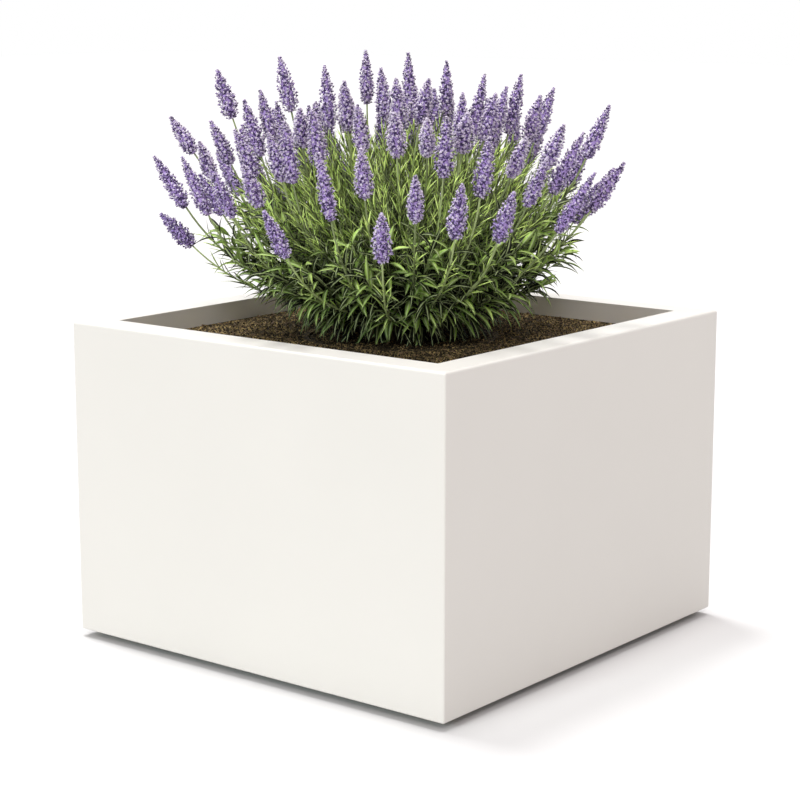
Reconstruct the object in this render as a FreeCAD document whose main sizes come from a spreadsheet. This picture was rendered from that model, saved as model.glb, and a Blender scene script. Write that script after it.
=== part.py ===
import FreeCAD, Part
import math
import os
import re
import Sketcher

# Square floor planter in moulded polyester with levelling feet, screw-in drain plugs,
# potting soil and a clump of lavender. Millimetres, +Z up.
# The origin is the middle of the planter on the ground, and the front is the -Y side.

Vector = FreeCAD.Vector

# Driving sizes
SIZES = {
    # moulded shell
    "planter_width": 600,
    "planter_depth": 600,
    "shell_height": 410,
    "ground_gap": 10,
    "wall": 4,
    "rim_width": 42,
    "lip_depth": 46,
    "edge_radius": 3.5,
    "corner_radius": 3,
    # floor of the planter, its bond and its stiffeners
    "base_rise": 36,
    "base_thickness": 5,
    "tab_leg": 22,
    "tab_thickness": 2,
    "bond_gap": 0.1,
    "rib_width": 50,
    "rib_crown": 30,
    "rib_height": 22,
    "rib_offset": 100,
    # levelling feet
    "block_size": 60,
    "block_thickness": 22,
    "block_gap": 6,
    "insert_radius": 7.5,
    "insert_flange_radius": 11,
    "insert_flange": 1.5,
    "stud_radius": 5,
    "stud_end_gap": 3,
    "collar_radius": 9,
    "collar_height": 6,
    "pivot_radius": 4,
    "pad_radius": 25,
    "pad_plate": 5,
    "pad_floor": 3,
    "boss_radius": 10,
    "thread_clearance": 0.05,
    "seat_gap": 0.3,
    # drains
    "drain_offset": 130,
    "drain_bore": 12,
    "drain_radius": 16,
    "drain_flange_radius": 25,
    "drain_flange": 3,
    "drain_tail": 11,
    "gasket_radius": 23,
    "gasket_thickness": 2,
    "nut_radius": 23,
    "nut_height": 7,
    "seal_radius": 15.5,
    "seal_thickness": 2.5,
    "plug_head_radius": 17,
    "plug_head": 5,
    "plug_grip": 6,
    "plug_grip_width": 7,
    "plug_reach": 10,
    # layers in the planter
    "granule_depth": 30,
    "fleece_thickness": 2,
    "soil_drop": 26,
    # plant
    "root_radius": 120,
    "root_taper": 22,
    "root_bed": 110,
    "root_clearance": 0.5,
    "crown_radius": 40,
    "crown_top_radius": 60,
    "crown_height": 26,
    "leaf_gap": 24,
    "leaf_centre": 105,
    "leaf_rise": 164,
    "leaf_lift": 1,
    "leaf_foot_radius": 115,
    "leaf_spread": 1.25,
    "stem_radius": 1.3,
    "stem_foot_radius": 56,
    "stem_foot_height": 28,
    "stem_foot_spread": 24,
    "flower_high": 360,
    "flower_length": 71,
    "flower_spacing": 26,
    "fill_count": 110,
    "fill_overhang": 38,
    "fill_low": 200,
    "fill_high": 316,
    "fill_height_sway": 12,
    "fill_length_sway": 8,
    "flower_radius": 10,
    "flower_neck": 3.2,
    "flower_point": 1.6,
    "stem_reach_in_flower": 2,
}

# Levels, counted from the ground
SHELL_BOTTOM = "ground_gap"
RIM_TOP = "(ground_gap + shell_height)"
LIP_BOTTOM = "(ground_gap + shell_height - lip_depth)"
BASE_UNDERSIDE = "(ground_gap + base_rise)"
BASE_TOP = "(ground_gap + base_rise + base_thickness)"
BLOCK_BOTTOM = "(ground_gap + base_rise - block_thickness)"
COLLAR_TOP = f"({BLOCK_BOTTOM} - insert_flange - seat_gap)"
COLLAR_BOTTOM = f"({COLLAR_TOP} - collar_height)"
BUSH_BOTTOM = f"({BASE_UNDERSIDE} - drain_tail)"
SEAL_BOTTOM = f"({BUSH_BOTTOM} - bond_gap - seal_thickness)"
HEAD_TOP = f"({SEAL_BOTTOM} - bond_gap)"
GRANULE_TOP = f"({BASE_TOP} + granule_depth)"
FLEECE_TOP = f"({GRANULE_TOP} + fleece_thickness)"
SOIL_TOP = f"({RIM_TOP} - soil_drop)"

# Plan sizes
INNER_WIDTH = "(planter_width - 2 * wall)"
INNER_DEPTH = "(planter_depth - 2 * wall)"
MOUTH_WIDTH = "(planter_width - 2 * rim_width)"
MOUTH_DEPTH = "(planter_depth - 2 * rim_width)"
LIP_WIDTH = "(planter_width - 2 * rim_width + 2 * wall)"
LIP_DEPTH = "(planter_depth - 2 * rim_width + 2 * wall)"
FOOT_INSET = "(wall + tab_leg + block_gap + block_size / 2)"
FOOT_X = f"(planter_width / 2 - {FOOT_INSET})"
FOOT_Y = f"(planter_depth / 2 - {FOOT_INSET})"
LEAF_RADIUS = "(min(planter_width; planter_depth) / 2 - rim_width - leaf_gap)"

SIDES = {"left": -1, "right": 1}
ENDS = {"front": -1, "back": 1}

# Flowers with a place of their own: direction in degrees from +X, reach of the tip as
# a share of the leaves' radius, its height above the soil as a share of flower_high,
# lean outwards and to one side in degrees, length as a share of flower_length
SET_FLOWERS = [
    (-144.7, 1.371, 0.646, 32.0, -1.6, 1.10), (-144.2, 1.340, 0.440, 44.6, 0.0, 0.84),
    (-84.0, 1.286, 0.525, 37.8, 0.3, 1.06), (-55.9, 1.279, 0.530, 31.0, 1.8, 1.00),
    (-135.0, 1.258, 0.794, 32.3, 4.2, 0.78), (-24.9, 1.256, 0.589, 32.0, -0.4, 1.03),
    (28.5, 1.230, 0.638, 33.9, 2.0, 1.05), (-37.3, 1.230, 0.619, 27.8, -1.0, 1.07),
    (3.8, 1.225, 0.629, 30.4, 9.7, 1.24), (-48.2, 1.211, 0.646, 33.9, -2.2, 0.98),
    (-106.5, 1.208, 0.649, 27.2, 3.4, 1.02), (-131.9, 1.203, 0.658, 23.6, -1.6, 1.15),
    (-93.9, 1.194, 0.662, 36.2, 10.3, 0.93), (-12.0, 1.170, 0.686, 33.6, -3.4, 1.02),
    (26.4, 1.147, 0.839, 23.3, 1.3, 1.03), (-122.4, 1.136, 0.718, 23.2, 18.2, 0.76),
    (-73.0, 1.135, 0.713, 15.6, -4.2, 1.20), (-61.8, 1.126, 0.729, 29.3, 1.8, 0.99),
    (-15.8, 1.092, 0.754, 38.7, -7.4, 0.90), (10.5, 1.090, 0.755, 27.3, 7.2, 1.21),
    (-26.8, 1.070, 0.761, 15.5, 1.7, 1.07), (-106.4, 1.062, 0.769, 27.2, -0.5, 0.93),
    (-131.3, 1.046, 0.783, 25.0, 4.6, 0.88), (3.4, 1.039, 0.786, 27.7, -2.9, 0.88),
    (-93.9, 1.013, 0.765, 22.2, 1.8, 0.92), (-132.3, 1.005, 0.960, 17.5, 2.5, 0.91),
    (-88.4, 1.000, 0.804, 12.1, -0.2, 1.09), (-43.9, 0.981, 0.820, 43.4, -5.9, 0.91),
    (-37.7, 0.967, 0.825, 12.7, 0.1, 1.06), (-30.7, 0.950, 0.836, 30.4, -4.7, 0.81),
    (-53.7, 0.939, 0.838, 32.9, -1.9, 0.91), (-81.1, 0.921, 0.844, 15.1, 0.8, 1.02),
    (-87.0, 0.899, 0.845, 24.8, 13.4, 0.76), (-121.5, 0.892, 0.860, 16.6, -1.1, 1.05),
    (-66.2, 0.882, 0.861, 25.9, 0.7, 0.92), (8.4, 0.851, 0.878, 20.6, -6.7, 0.87),
    (29.0, 0.839, 0.897, 19.4, 1.0, 1.04), (-13.7, 0.800, 0.891, 21.0, -0.3, 0.87),
    (-122.9, 0.797, 0.892, 13.9, 0.0, 0.97), (-27.1, 0.769, 0.896, 15.6, -3.4, 0.97),
    (-1.2, 0.723, 0.909, 14.5, 6.3, 1.08), (-136.4, 0.661, 1.003, 11.7, 0.5, 1.01),
    (32.3, 0.659, 0.942, 12.1, 0.6, 1.10), (-80.9, 0.607, 0.931, 16.2, 4.7, 0.91),
    (-36.6, 0.566, 0.938, 20.6, 5.3, 0.84), (-54.2, 0.564, 0.939, 13.1, -1.6, 0.89),
    (10.4, 0.510, 0.946, 9.4, 7.4, 1.19), (-140.9, 0.416, 0.971, 4.5, -2.1, 1.15),
    (77.8, 0.329, 0.983, 1.4, 1.1, 1.05), (166.4, 0.318, 1.020, 0.5, 1.3, 0.99),
    (-81.4, 0.217, 0.967, 3.1, -3.4, 0.94), (114.1, 0.161, 1.013, 0.4, 2.1, 1.08),
    (45.0, 1.200, 0.600, 32.0, 2.0, 1.00), (62.0, 1.260, 0.530, 36.0, -3.0, 0.95),
    (79.0, 1.170, 0.640, 30.0, 1.0, 1.05), (96.0, 1.250, 0.500, 38.0, 3.0, 0.90),
    (113.0, 1.190, 0.620, 31.0, -2.0, 1.00), (130.0, 1.270, 0.550, 36.0, 1.0, 1.10),
    (147.0, 1.180, 0.640, 29.0, 2.0, 0.95), (163.0, 1.250, 0.520, 37.0, -3.0, 1.00),
    (180.0, 1.200, 0.600, 33.0, 3.0, 1.05), (-163.0, 1.240, 0.560, 34.0, -2.0, 0.90),
]
GOLDEN_ANGLE = math.degrees(math.pi * (3 - math.sqrt(5)))
FIRST_TURN = 48

# The other flowers stand at the back: the direction of the middle of the part that they
# fill and how far they reach to each side of it, in degrees
FILL_MIDDLE = 128
FILL_HALF_ANGLE = 82
# How they stand: the dome's outline, their lean in degrees from the middle to the edge,
# and how much they differ from one another
DOME_POWER = 2.6
DOME_FLATNESS = 0.7
MIDDLE_LEAN = 3
EDGE_LEAN = 24
LEAN_POWER = 2.2
LEAN_SWAY = 5
SWING_SWAY = 5
REACH_SWAY = 0.025

# Where a spike is fullest, as a share of its length from its foot
FULLEST_AT = 0.4
# A stem that bends less than this is made straight
STRAIGHT = math.radians(1)

# The largest radius of the top and bottom edges, as a share of the corner radius and the wall
EDGE_OF_CORNER = 1.2
EDGE_OF_WALL = 0.6
# Lengths that differ by less than this are the same
SAME_LENGTH = 0.01

doc = FreeCAD.newDocument("polyester_planter")
sheet = doc.addObject("Spreadsheet::Sheet", "Sizes")
for row, (alias, number) in enumerate(SIZES.items(), start=1):
    sheet.set(f"A{row}", alias)
    sheet.set(f"B{row}", str(number))
    sheet.setAlias(f"B{row}", alias)
doc.recompute()

sub_parts = {}


def cells(formula):
    """The formula with each size's name turned into a reference to its cell."""
    names = sorted(SIZES, key=len, reverse=True)
    return re.sub(r"\b(" + "|".join(names) + r")\b", r"Sizes.\1", formula)


def size(alias):
    """The number that a cell of the sheet holds."""
    return float(sheet.get(alias))


def bind(thing, **formulas):
    """Bind properties of an object to formulas; a double underscore stands for a dot."""
    for name, formula in formulas.items():
        thing.setExpression(name.replace("__", "."), cells(formula))
    return thing


def place(thing, at_x="0", at_y="0", at_z="0"):
    """Bind the position of an object."""
    return bind(
        thing, Placement__Base__x=at_x, Placement__Base__y=at_y, Placement__Base__z=at_z
    )


def name_sub_part(thing, node, solids=1):
    """Label the object that is one node of the part, and note how many solids it holds."""
    thing.Label = node
    sub_parts[node] = (thing, solids)
    return thing


# Primitives and booleans


def block(name, length, width, height, at_x="0", at_y="0", at_z="0"):
    """A box centred on (at_x, at_y) that stands on at_z."""
    box = doc.addObject("Part::Box", name)
    bind(box, Length=length, Width=width, Height=height)
    return place(box, f"{at_x} - ({length}) / 2", f"{at_y} - ({width}) / 2", at_z)


def disc(name, radius, height, at_x="0", at_y="0", at_z="0"):
    """An upright cylinder that stands on at_z."""
    cylinder = doc.addObject("Part::Cylinder", name)
    bind(cylinder, Radius=radius, Height=height)
    return place(cylinder, at_x, at_y, at_z)


def cone(name, bottom_radius, top_radius, height, at_x="0", at_y="0", at_z="0"):
    """An upright truncated cone that stands on at_z."""
    frustum = doc.addObject("Part::Cone", name)
    bind(frustum, Radius1=bottom_radius, Radius2=top_radius, Height=height)
    return place(frustum, at_x, at_y, at_z)


def hexagon(name, corner_radius, height, at_x="0", at_y="0", at_z="0"):
    """An upright hexagonal prism that stands on at_z."""
    prism = doc.addObject("Part::Prism", name)
    prism.Polygon = 6
    bind(prism, Circumradius=corner_radius, Height=height)
    return place(prism, at_x, at_y, at_z)


def fuse(name, *shapes):
    """The union of several objects."""
    union = doc.addObject("Part::MultiFuse", name)
    union.Shapes = list(shapes)
    union.Refine = True
    return union


def cut(name, base, tool):
    """The base without the tool."""
    difference = doc.addObject("Part::Cut", name)
    difference.Base = base
    difference.Tool = tool
    return difference


# Sketches in a body


def origin_plane(body, role):
    """The body's own origin plane with the given role."""
    return next(item for item in body.Origin.OriginFeatures if item.Role == role)


def flat_sketch(body, name, height):
    """A sketch on the body's XY plane, raised to a height."""
    sketch = body.newObject("Sketcher::SketchObject", name)
    sketch.AttachmentSupport = [(origin_plane(body, "XY_Plane"), "")]
    sketch.MapMode = "FlatFace"
    return bind(sketch, AttachmentOffset__Base__z=height)


def add_rectangle(sketch, width, depth):
    """A rectangle centred on the sketch's origin, with its two sizes bound."""
    half = size("planter_width") / 2
    corners = [(-half, -half), (half, -half), (half, half), (-half, half)]
    first = sketch.GeometryCount
    for index, start in enumerate(corners):
        end = corners[(index + 1) % 4]
        sketch.addGeometry(Part.LineSegment(Vector(*start, 0), Vector(*end, 0)), False)
    for index in range(4):
        following = first + (index + 1) % 4
        sketch.addConstraint(Sketcher.Constraint("Coincident", first + index, 2, following, 1))
    for index in (0, 2):
        sketch.addConstraint(Sketcher.Constraint("Horizontal", first + index))
        sketch.addConstraint(Sketcher.Constraint("Vertical", first + index + 1))
    sketch.addConstraint(Sketcher.Constraint("Symmetric", first, 1, first + 1, 2, -1, 1))
    across = sketch.addConstraint(
        Sketcher.Constraint("DistanceX", first, 1, first, 2, 2 * half)
    )
    along = sketch.addConstraint(
        Sketcher.Constraint("DistanceY", first + 1, 1, first + 1, 2, 2 * half)
    )
    sketch.setExpression(f"Constraints[{across}]", cells(width))
    sketch.setExpression(f"Constraints[{along}]", cells(depth))
    return sketch


def pad(body, name, sketch, length):
    """A pad of the sketch, upwards."""
    feature = body.newObject("PartDesign::Pad", name)
    feature.Profile = sketch
    return bind(feature, Length=length)


def pocket_up(body, name, sketch, length):
    """A pocket that cuts upwards from the sketch."""
    feature = body.newObject("PartDesign::Pocket", name)
    feature.Profile = sketch
    feature.Reversed = True
    return bind(feature, Length=length)


def round_edges(body, name, base, chosen, radius):
    """A fillet on the edges of the base whose midpoints the test accepts."""
    doc.recompute()
    names = [
        f"Edge{number}"
        for number, edge in enumerate(base.Shape.Edges, start=1)
        if chosen(edge)
    ]
    feature = body.newObject("PartDesign::Fillet", name)
    feature.Base = (base, names)
    return bind(feature, Radius=radius)


# Shell and rim


def make_shell():
    """Four walls, the flat rim turned inwards and the lip turned down, as one moulding."""
    body = doc.addObject("PartDesign::Body", "Shell")
    outline = flat_sketch(body, "shell_outline", SHELL_BOTTOM)
    add_rectangle(outline, "planter_width", "planter_depth")
    block_form = pad(body, "shell_block", outline, "shell_height")

    def upright(edge):
        return abs(edge.BoundBox.ZLength - size("shell_height")) < SAME_LENGTH

    corners = round_edges(body, "upright_corners", block_form, upright, "corner_radius")

    top = size("ground_gap") + size("shell_height")

    def at_top(edge):
        return edge.BoundBox.ZMin > top - SAME_LENGTH

    def at_bottom(edge):
        return edge.BoundBox.ZMax < size("ground_gap") + SAME_LENGTH

    top_edges = round_edges(
        body, "top_edge", corners, at_top,
        f"min(edge_radius; corner_radius * {EDGE_OF_CORNER})",
    )
    bottom_edges = round_edges(
        body, "bottom_edge", top_edges, at_bottom, f"min(edge_radius; wall * {EDGE_OF_WALL})"
    )
    body.Tip = bottom_edges

    mouth = flat_sketch(body, "mouth_outline", SHELL_BOTTOM)
    add_rectangle(mouth, MOUTH_WIDTH, MOUTH_DEPTH)
    pocket_up(body, "mouth", mouth, "shell_height")

    cavity = flat_sketch(body, "cavity_outline", SHELL_BOTTOM)
    add_rectangle(cavity, INNER_WIDTH, INNER_DEPTH)
    pocket_up(body, "cavity", cavity, "shell_height - lip_depth")

    channel = flat_sketch(body, "rim_channel_outline", LIP_BOTTOM)
    add_rectangle(channel, INNER_WIDTH, INNER_DEPTH)
    add_rectangle(channel, LIP_WIDTH, LIP_DEPTH)
    pocket_up(body, "rim_channel", channel, "lip_depth - wall")
    return name_sub_part(body, "shell")


def make_rim_cores():
    """Four battens that fill the channel between the walls and the lip."""
    width = "(rim_width - 2 * wall)"
    height = "lip_depth - wall"
    for end, sign in ENDS.items():
        centre = f"{sign} * ((planter_depth - {width}) / 2 - wall)"
        batten = block(f"Core_{end}", INNER_WIDTH, width, height, "0", centre, LIP_BOTTOM)
        name_sub_part(batten, f"rim_core_{end}")
    for side, sign in SIDES.items():
        centre = f"{sign} * ((planter_width - {width}) / 2 - wall)"
        batten = block(f"Core_{side}", width, LIP_DEPTH, height, centre, "0", LIP_BOTTOM)
        name_sub_part(batten, f"rim_core_{side}")


# Floor of the planter


def make_base_panel():
    """The floor, with a hole for each drain."""
    body = doc.addObject("PartDesign::Body", "BasePanel")
    outline = flat_sketch(body, "base_outline", BASE_UNDERSIDE)
    add_rectangle(outline, INNER_WIDTH, INNER_DEPTH)
    pad(body, "base_plate", outline, "base_thickness")
    hole = flat_sketch(body, "drain_hole_outline", BASE_UNDERSIDE)
    centre_x = size("drain_offset")
    rough_radius = size("drain_radius")
    circle = Part.Circle(Vector(centre_x, 0, 0), Vector(0, 0, 1), rough_radius)
    hole.addGeometry(circle, False)
    hole.addConstraint(Sketcher.Constraint("PointOnObject", 0, 3, -1))
    offset = hole.addConstraint(Sketcher.Constraint("DistanceX", -1, 1, 0, 3, centre_x))
    radius = hole.addConstraint(Sketcher.Constraint("Radius", 0, rough_radius))
    hole.setExpression(f"Constraints[{offset}]", cells("drain_offset"))
    hole.setExpression(f"Constraints[{radius}]", cells("drain_radius + bond_gap"))
    drain_hole = pocket_up(body, "drain_hole", hole, "base_thickness")
    doc.recompute()
    mirrored = body.newObject("PartDesign::Mirrored", "drain_holes")
    mirrored.Originals = [drain_hole]
    mirrored.MirrorPlane = (origin_plane(body, "YZ_Plane"), [""])
    body.Tip = mirrored
    return name_sub_part(body, "base_panel")


def make_base_tabbing():
    """The angle of laminate that bonds the underside of the floor to the walls."""
    body = doc.addObject("PartDesign::Body", "BaseTabbing")
    outline = flat_sketch(body, "tabbing_outline", f"{BASE_UNDERSIDE} - tab_leg")
    add_rectangle(outline, INNER_WIDTH, INNER_DEPTH)
    pad(body, "tabbing_block", outline, "tab_leg")
    inside = flat_sketch(body, "upright_leg_outline", f"{BASE_UNDERSIDE} - tab_leg")
    add_rectangle(
        inside, f"{INNER_WIDTH} - 2 * tab_thickness", f"{INNER_DEPTH} - 2 * tab_thickness"
    )
    pocket_up(body, "upright_leg", inside, "tab_leg - tab_thickness")
    window = flat_sketch(body, "flat_leg_outline", f"{BASE_UNDERSIDE} - tab_leg")
    add_rectangle(window, f"{INNER_WIDTH} - 2 * tab_leg", f"{INNER_DEPTH} - 2 * tab_leg")
    pocket_up(body, "flat_leg", window, "tab_leg")
    return name_sub_part(body, "base_tabbing")


def make_base_ribs():
    """Two stiffeners of hat section, laminated under the floor from side to side."""
    for end, sign in ENDS.items():
        rib = doc.addObject("Part::Wedge", f"Rib_{end}")
        length = f"({INNER_WIDTH} - 2 * tab_leg - 2 * block_gap)"
        bind(
            rib,
            Xmin=f"-{length} / 2", Xmax=f"{length} / 2",
            X2min=f"-{length} / 2", X2max=f"{length} / 2",
            Ymin="0", Ymax="rib_height",
            Zmin="-rib_crown / 2", Zmax="rib_crown / 2",
            Z2min="-rib_width / 2", Z2max="rib_width / 2",
        )
        rib.Placement = FreeCAD.Placement(
            Vector(0, 0, 0), FreeCAD.Rotation(Vector(1, 0, 0), 90)
        )
        place(rib, "0", f"{sign} * rib_offset", f"{BASE_UNDERSIDE} - rib_height")
        name_sub_part(rib, f"base_rib_{end}")


# Levelling feet


def make_foot_blocks():
    """A drilled block under each corner of the floor."""
    for end, depth_sign in ENDS.items():
        for side, width_sign in SIDES.items():
            at = (f"{width_sign} * {FOOT_X}", f"{depth_sign} * {FOOT_Y}", BLOCK_BOTTOM)
            name = f"{end}_{side}"
            solid = block(
                f"Block_{name}", "block_size", "block_size", "block_thickness", *at
            )
            drill = disc(f"BlockHole_{name}", "insert_radius + bond_gap", "block_thickness", *at)
            name_sub_part(cut(f"FootBlock_{name}", solid, drill), f"foot_block_{name}")


def make_foot_inserts():
    """The threaded inserts in the blocks: one node of four alike."""
    inserts = []
    for end, depth_sign in ENDS.items():
        for side, width_sign in SIDES.items():
            at_x = f"{width_sign} * {FOOT_X}"
            at_y = f"{depth_sign} * {FOOT_Y}"
            low = f"{BLOCK_BOTTOM} - insert_flange"
            name = f"{end}_{side}"
            tube = disc(
                f"InsertTube_{name}", "insert_radius", "block_thickness + insert_flange",
                at_x, at_y, low,
            )
            flange = disc(
                f"InsertFlange_{name}", "insert_flange_radius", "insert_flange", at_x, at_y, low
            )
            bore = disc(
                f"InsertBore_{name}", "stud_radius + thread_clearance",
                "block_thickness + insert_flange", at_x, at_y, low,
            )
            body = fuse(f"InsertBody_{name}", tube, flange)
            inserts.append(cut(f"Insert_{name}", body, bore))
    group = doc.addObject("Part::Compound", "FootInserts")
    group.Links = inserts
    name_sub_part(group, "foot_inserts", solids=4)


def make_foot_studs():
    """A stud with a hexagon to turn it and a pin that pivots in the pad."""
    pin_bottom = "(pad_floor + seat_gap)"
    for end, depth_sign in ENDS.items():
        for side, width_sign in SIDES.items():
            at = (f"{width_sign} * {FOOT_X}", f"{depth_sign} * {FOOT_Y}")
            name = f"{end}_{side}"
            thread = disc(
                f"StudThread_{name}", "stud_radius",
                f"{BASE_UNDERSIDE} - stud_end_gap - {COLLAR_BOTTOM}", *at, COLLAR_BOTTOM,
            )
            collar = hexagon(
                f"StudCollar_{name}", "collar_radius", "collar_height", *at, COLLAR_BOTTOM
            )
            pivot = disc(
                f"StudPin_{name}", "pivot_radius", f"{COLLAR_BOTTOM} - {pin_bottom}",
                *at, pin_bottom,
            )
            name_sub_part(fuse(f"FootStud_{name}", thread, collar, pivot), f"foot_stud_{name}")


def make_foot_pads():
    """A round pad with a cone that holds the stud's pin."""
    for end, depth_sign in ENDS.items():
        for side, width_sign in SIDES.items():
            at = (f"{width_sign} * {FOOT_X}", f"{depth_sign} * {FOOT_Y}")
            name = f"{end}_{side}"
            plate = disc(f"PadPlate_{name}", "pad_radius", "pad_plate", *at, "0")
            boss = cone(
                f"PadCone_{name}", "pad_radius", "boss_radius",
                f"{COLLAR_BOTTOM} - seat_gap - pad_plate", *at, "pad_plate",
            )
            socket = disc(
                f"PadSocket_{name}", "pivot_radius + thread_clearance", COLLAR_BOTTOM,
                *at, "pad_floor",
            )
            body = fuse(f"PadBody_{name}", plate, boss)
            name_sub_part(cut(f"FootPad_{name}", body, socket), f"foot_pad_{name}")


# Drains


def make_drain(side, sign):
    """One drain: flanged bush, gasket, nut, and the plug with its seal, from the top down."""
    at = (f"{sign} * drain_offset", "0")
    tube = disc(
        f"BushTube_{side}", "drain_radius", f"{BASE_TOP} - {BUSH_BOTTOM}", *at, BUSH_BOTTOM
    )
    flange = disc(f"BushFlange_{side}", "drain_flange_radius", "drain_flange", *at, BASE_TOP)
    bore = disc(
        f"BushBore_{side}", "drain_bore",
        f"{BASE_TOP} + drain_flange - {BUSH_BOTTOM}", *at, BUSH_BOTTOM,
    )
    body = fuse(f"BushBody_{side}", tube, flange)
    name_sub_part(cut(f"DrainBush_{side}", body, bore), f"drain_bush_{side}")

    gasket = disc(
        f"GasketDisc_{side}", "gasket_radius", "gasket_thickness",
        *at, f"{BASE_UNDERSIDE} - gasket_thickness",
    )
    gasket_hole = disc(
        f"GasketHole_{side}", "drain_radius + bond_gap", "gasket_thickness",
        *at, f"{BASE_UNDERSIDE} - gasket_thickness",
    )
    name_sub_part(cut(f"DrainGasket_{side}", gasket, gasket_hole), f"drain_gasket_{side}")

    nut_bottom = f"{BASE_UNDERSIDE} - gasket_thickness - nut_height"
    nut = hexagon(f"NutHexagon_{side}", "nut_radius", "nut_height", *at, nut_bottom)
    nut_hole = disc(f"NutHole_{side}", "drain_radius + bond_gap", "nut_height", *at, nut_bottom)
    name_sub_part(cut(f"DrainNut_{side}", nut, nut_hole), f"drain_nut_{side}")

    ring = disc(f"SealDisc_{side}", "seal_radius", "seal_thickness", *at, SEAL_BOTTOM)
    ring_hole = disc(f"SealHole_{side}", "drain_bore", "seal_thickness", *at, SEAL_BOTTOM)
    name_sub_part(cut(f"PlugSeal_{side}", ring, ring_hole), f"plug_seal_{side}")

    head = disc(
        f"PlugHead_{side}", "plug_head_radius", "plug_head", *at, f"{HEAD_TOP} - plug_head"
    )
    shank = disc(
        f"PlugShank_{side}", "drain_bore - thread_clearance",
        "bond_gap + seal_thickness + bond_gap + plug_reach", *at, HEAD_TOP,
    )
    grip = block(
        f"PlugGrip_{side}", "2 * plug_head_radius - plug_grip_width", "plug_grip_width",
        "plug_grip", *at, f"{HEAD_TOP} - plug_head - plug_grip",
    )
    name_sub_part(fuse(f"DrainPlug_{side}", head, shank, grip), f"drain_plug_{side}")


# Layers in the planter


def make_granules():
    """The layer of clay granules, round the flanges of the drains."""
    layer = block(
        "GranuleLayer", INNER_WIDTH, INNER_DEPTH, "granule_depth", "0", "0", BASE_TOP
    )
    hollows = [
        disc(
            f"GranuleHollow_{side}", "drain_flange_radius + bond_gap",
            "drain_flange + bond_gap", f"{sign} * drain_offset", "0", BASE_TOP,
        )
        for side, sign in SIDES.items()
    ]
    name_sub_part(
        cut("DrainageGranules", layer, fuse("GranuleHollows", *hollows)), "drainage_granules"
    )


def make_fleece():
    """The fleece that keeps the soil out of the granules."""
    fleece = block(
        "FilterFleece", INNER_WIDTH, INNER_DEPTH, "fleece_thickness", "0", "0", GRANULE_TOP
    )
    name_sub_part(fleece, "filter_fleece")


def root_cone(name, clearance):
    """The tapered root ball, or with a clearance the pocket that it leaves in the soil."""
    bottom = f"({FLEECE_TOP} + root_bed - {clearance})"
    return cone(
        name, f"root_radius - root_taper + {clearance}", f"root_radius + {clearance}",
        f"{SOIL_TOP} - {bottom}", "0", "0", bottom,
    )


def make_soil():
    """The soil: under the rim it reaches the walls, and above the lip's edge only the mouth."""
    low = block(
        "SoilBed", INNER_WIDTH, INNER_DEPTH, f"{LIP_BOTTOM} - {FLEECE_TOP}", "0", "0", FLEECE_TOP
    )
    high = block(
        "SoilTop", MOUTH_WIDTH, MOUTH_DEPTH, f"{SOIL_TOP} - {LIP_BOTTOM}", "0", "0", LIP_BOTTOM
    )
    pocket = root_cone("RootPocket", "root_clearance")
    name_sub_part(cut("PottingSoil", fuse("SoilBody", low, high), pocket), "potting_soil")


# Plant


def make_root_ball():
    """The root ball as it comes out of its pot."""
    name_sub_part(root_cone("RootBall", "0"), "root_ball")


def crown_cone(name):
    """The short woody crown on the root ball."""
    return cone(
        name, "crown_radius", "crown_top_radius", "crown_height", "0", "0", SOIL_TOP
    )


def make_crown():
    """The woody crown that carries the leaves and the stems."""
    name_sub_part(crown_cone("PlantCrown"), "plant_crown")


def make_foliage():
    """The mound of leaves: it spreads from its foot, then rounds over, and is hollow for the crown."""
    mound = doc.addObject("Part::Ellipsoid", "LeafMound")
    bind(mound, Radius1="leaf_rise", Radius2=LEAF_RADIUS, Radius3=LEAF_RADIUS)
    place(mound, "0", "0", f"{SOIL_TOP} + leaf_centre")
    height = "(leaf_centre + leaf_rise)"
    spread = cone(
        "LeafSpread", "leaf_foot_radius", f"leaf_foot_radius + leaf_spread * {height}",
        height, "0", "0", f"{SOIL_TOP} + leaf_lift",
    )
    leaves = doc.addObject("Part::Common", "Leaves")
    leaves.Base = mound
    leaves.Tool = spread
    name_sub_part(cut("Foliage", leaves, crown_cone("CrownHollow")), "foliage")


def sway(index, strand):
    """A number from -1 to 1 that differs from flower to flower and is always the same."""
    return math.sin(12.9898 * index + 78.233 * strand + 1.7 * math.sin(4.1 * index + strand))


def soil_level():
    """The height of the soil above the ground."""
    return size("ground_gap") + size("shell_height") - size("soil_drop")


def leaf_edge():
    """The radius of the widest leaves."""
    return half_mouth() - size("leaf_gap")


def flower_at(direction, reach, height, lean, swing, length):
    """Foot and tip of one flower spike: reach and height are its tip's, the angles in degrees."""
    direction, lean, swing = map(math.radians, (direction, lean, swing))
    outward = Vector(math.cos(direction), math.sin(direction), 0)
    sideways = Vector(-math.sin(direction), math.cos(direction), 0)
    axis = outward * math.sin(lean) + sideways * math.sin(swing)
    axis = axis + Vector(0, 0, math.cos(lean))
    axis.normalize()
    tip = outward * reach + Vector(0, 0, soil_level() + height)
    return tip - axis * length, tip


def fill_direction(index):
    """The direction of one of the flowers that are spread by the golden angle."""
    return FIRST_TURN + index * GOLDEN_ANGLE


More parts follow.
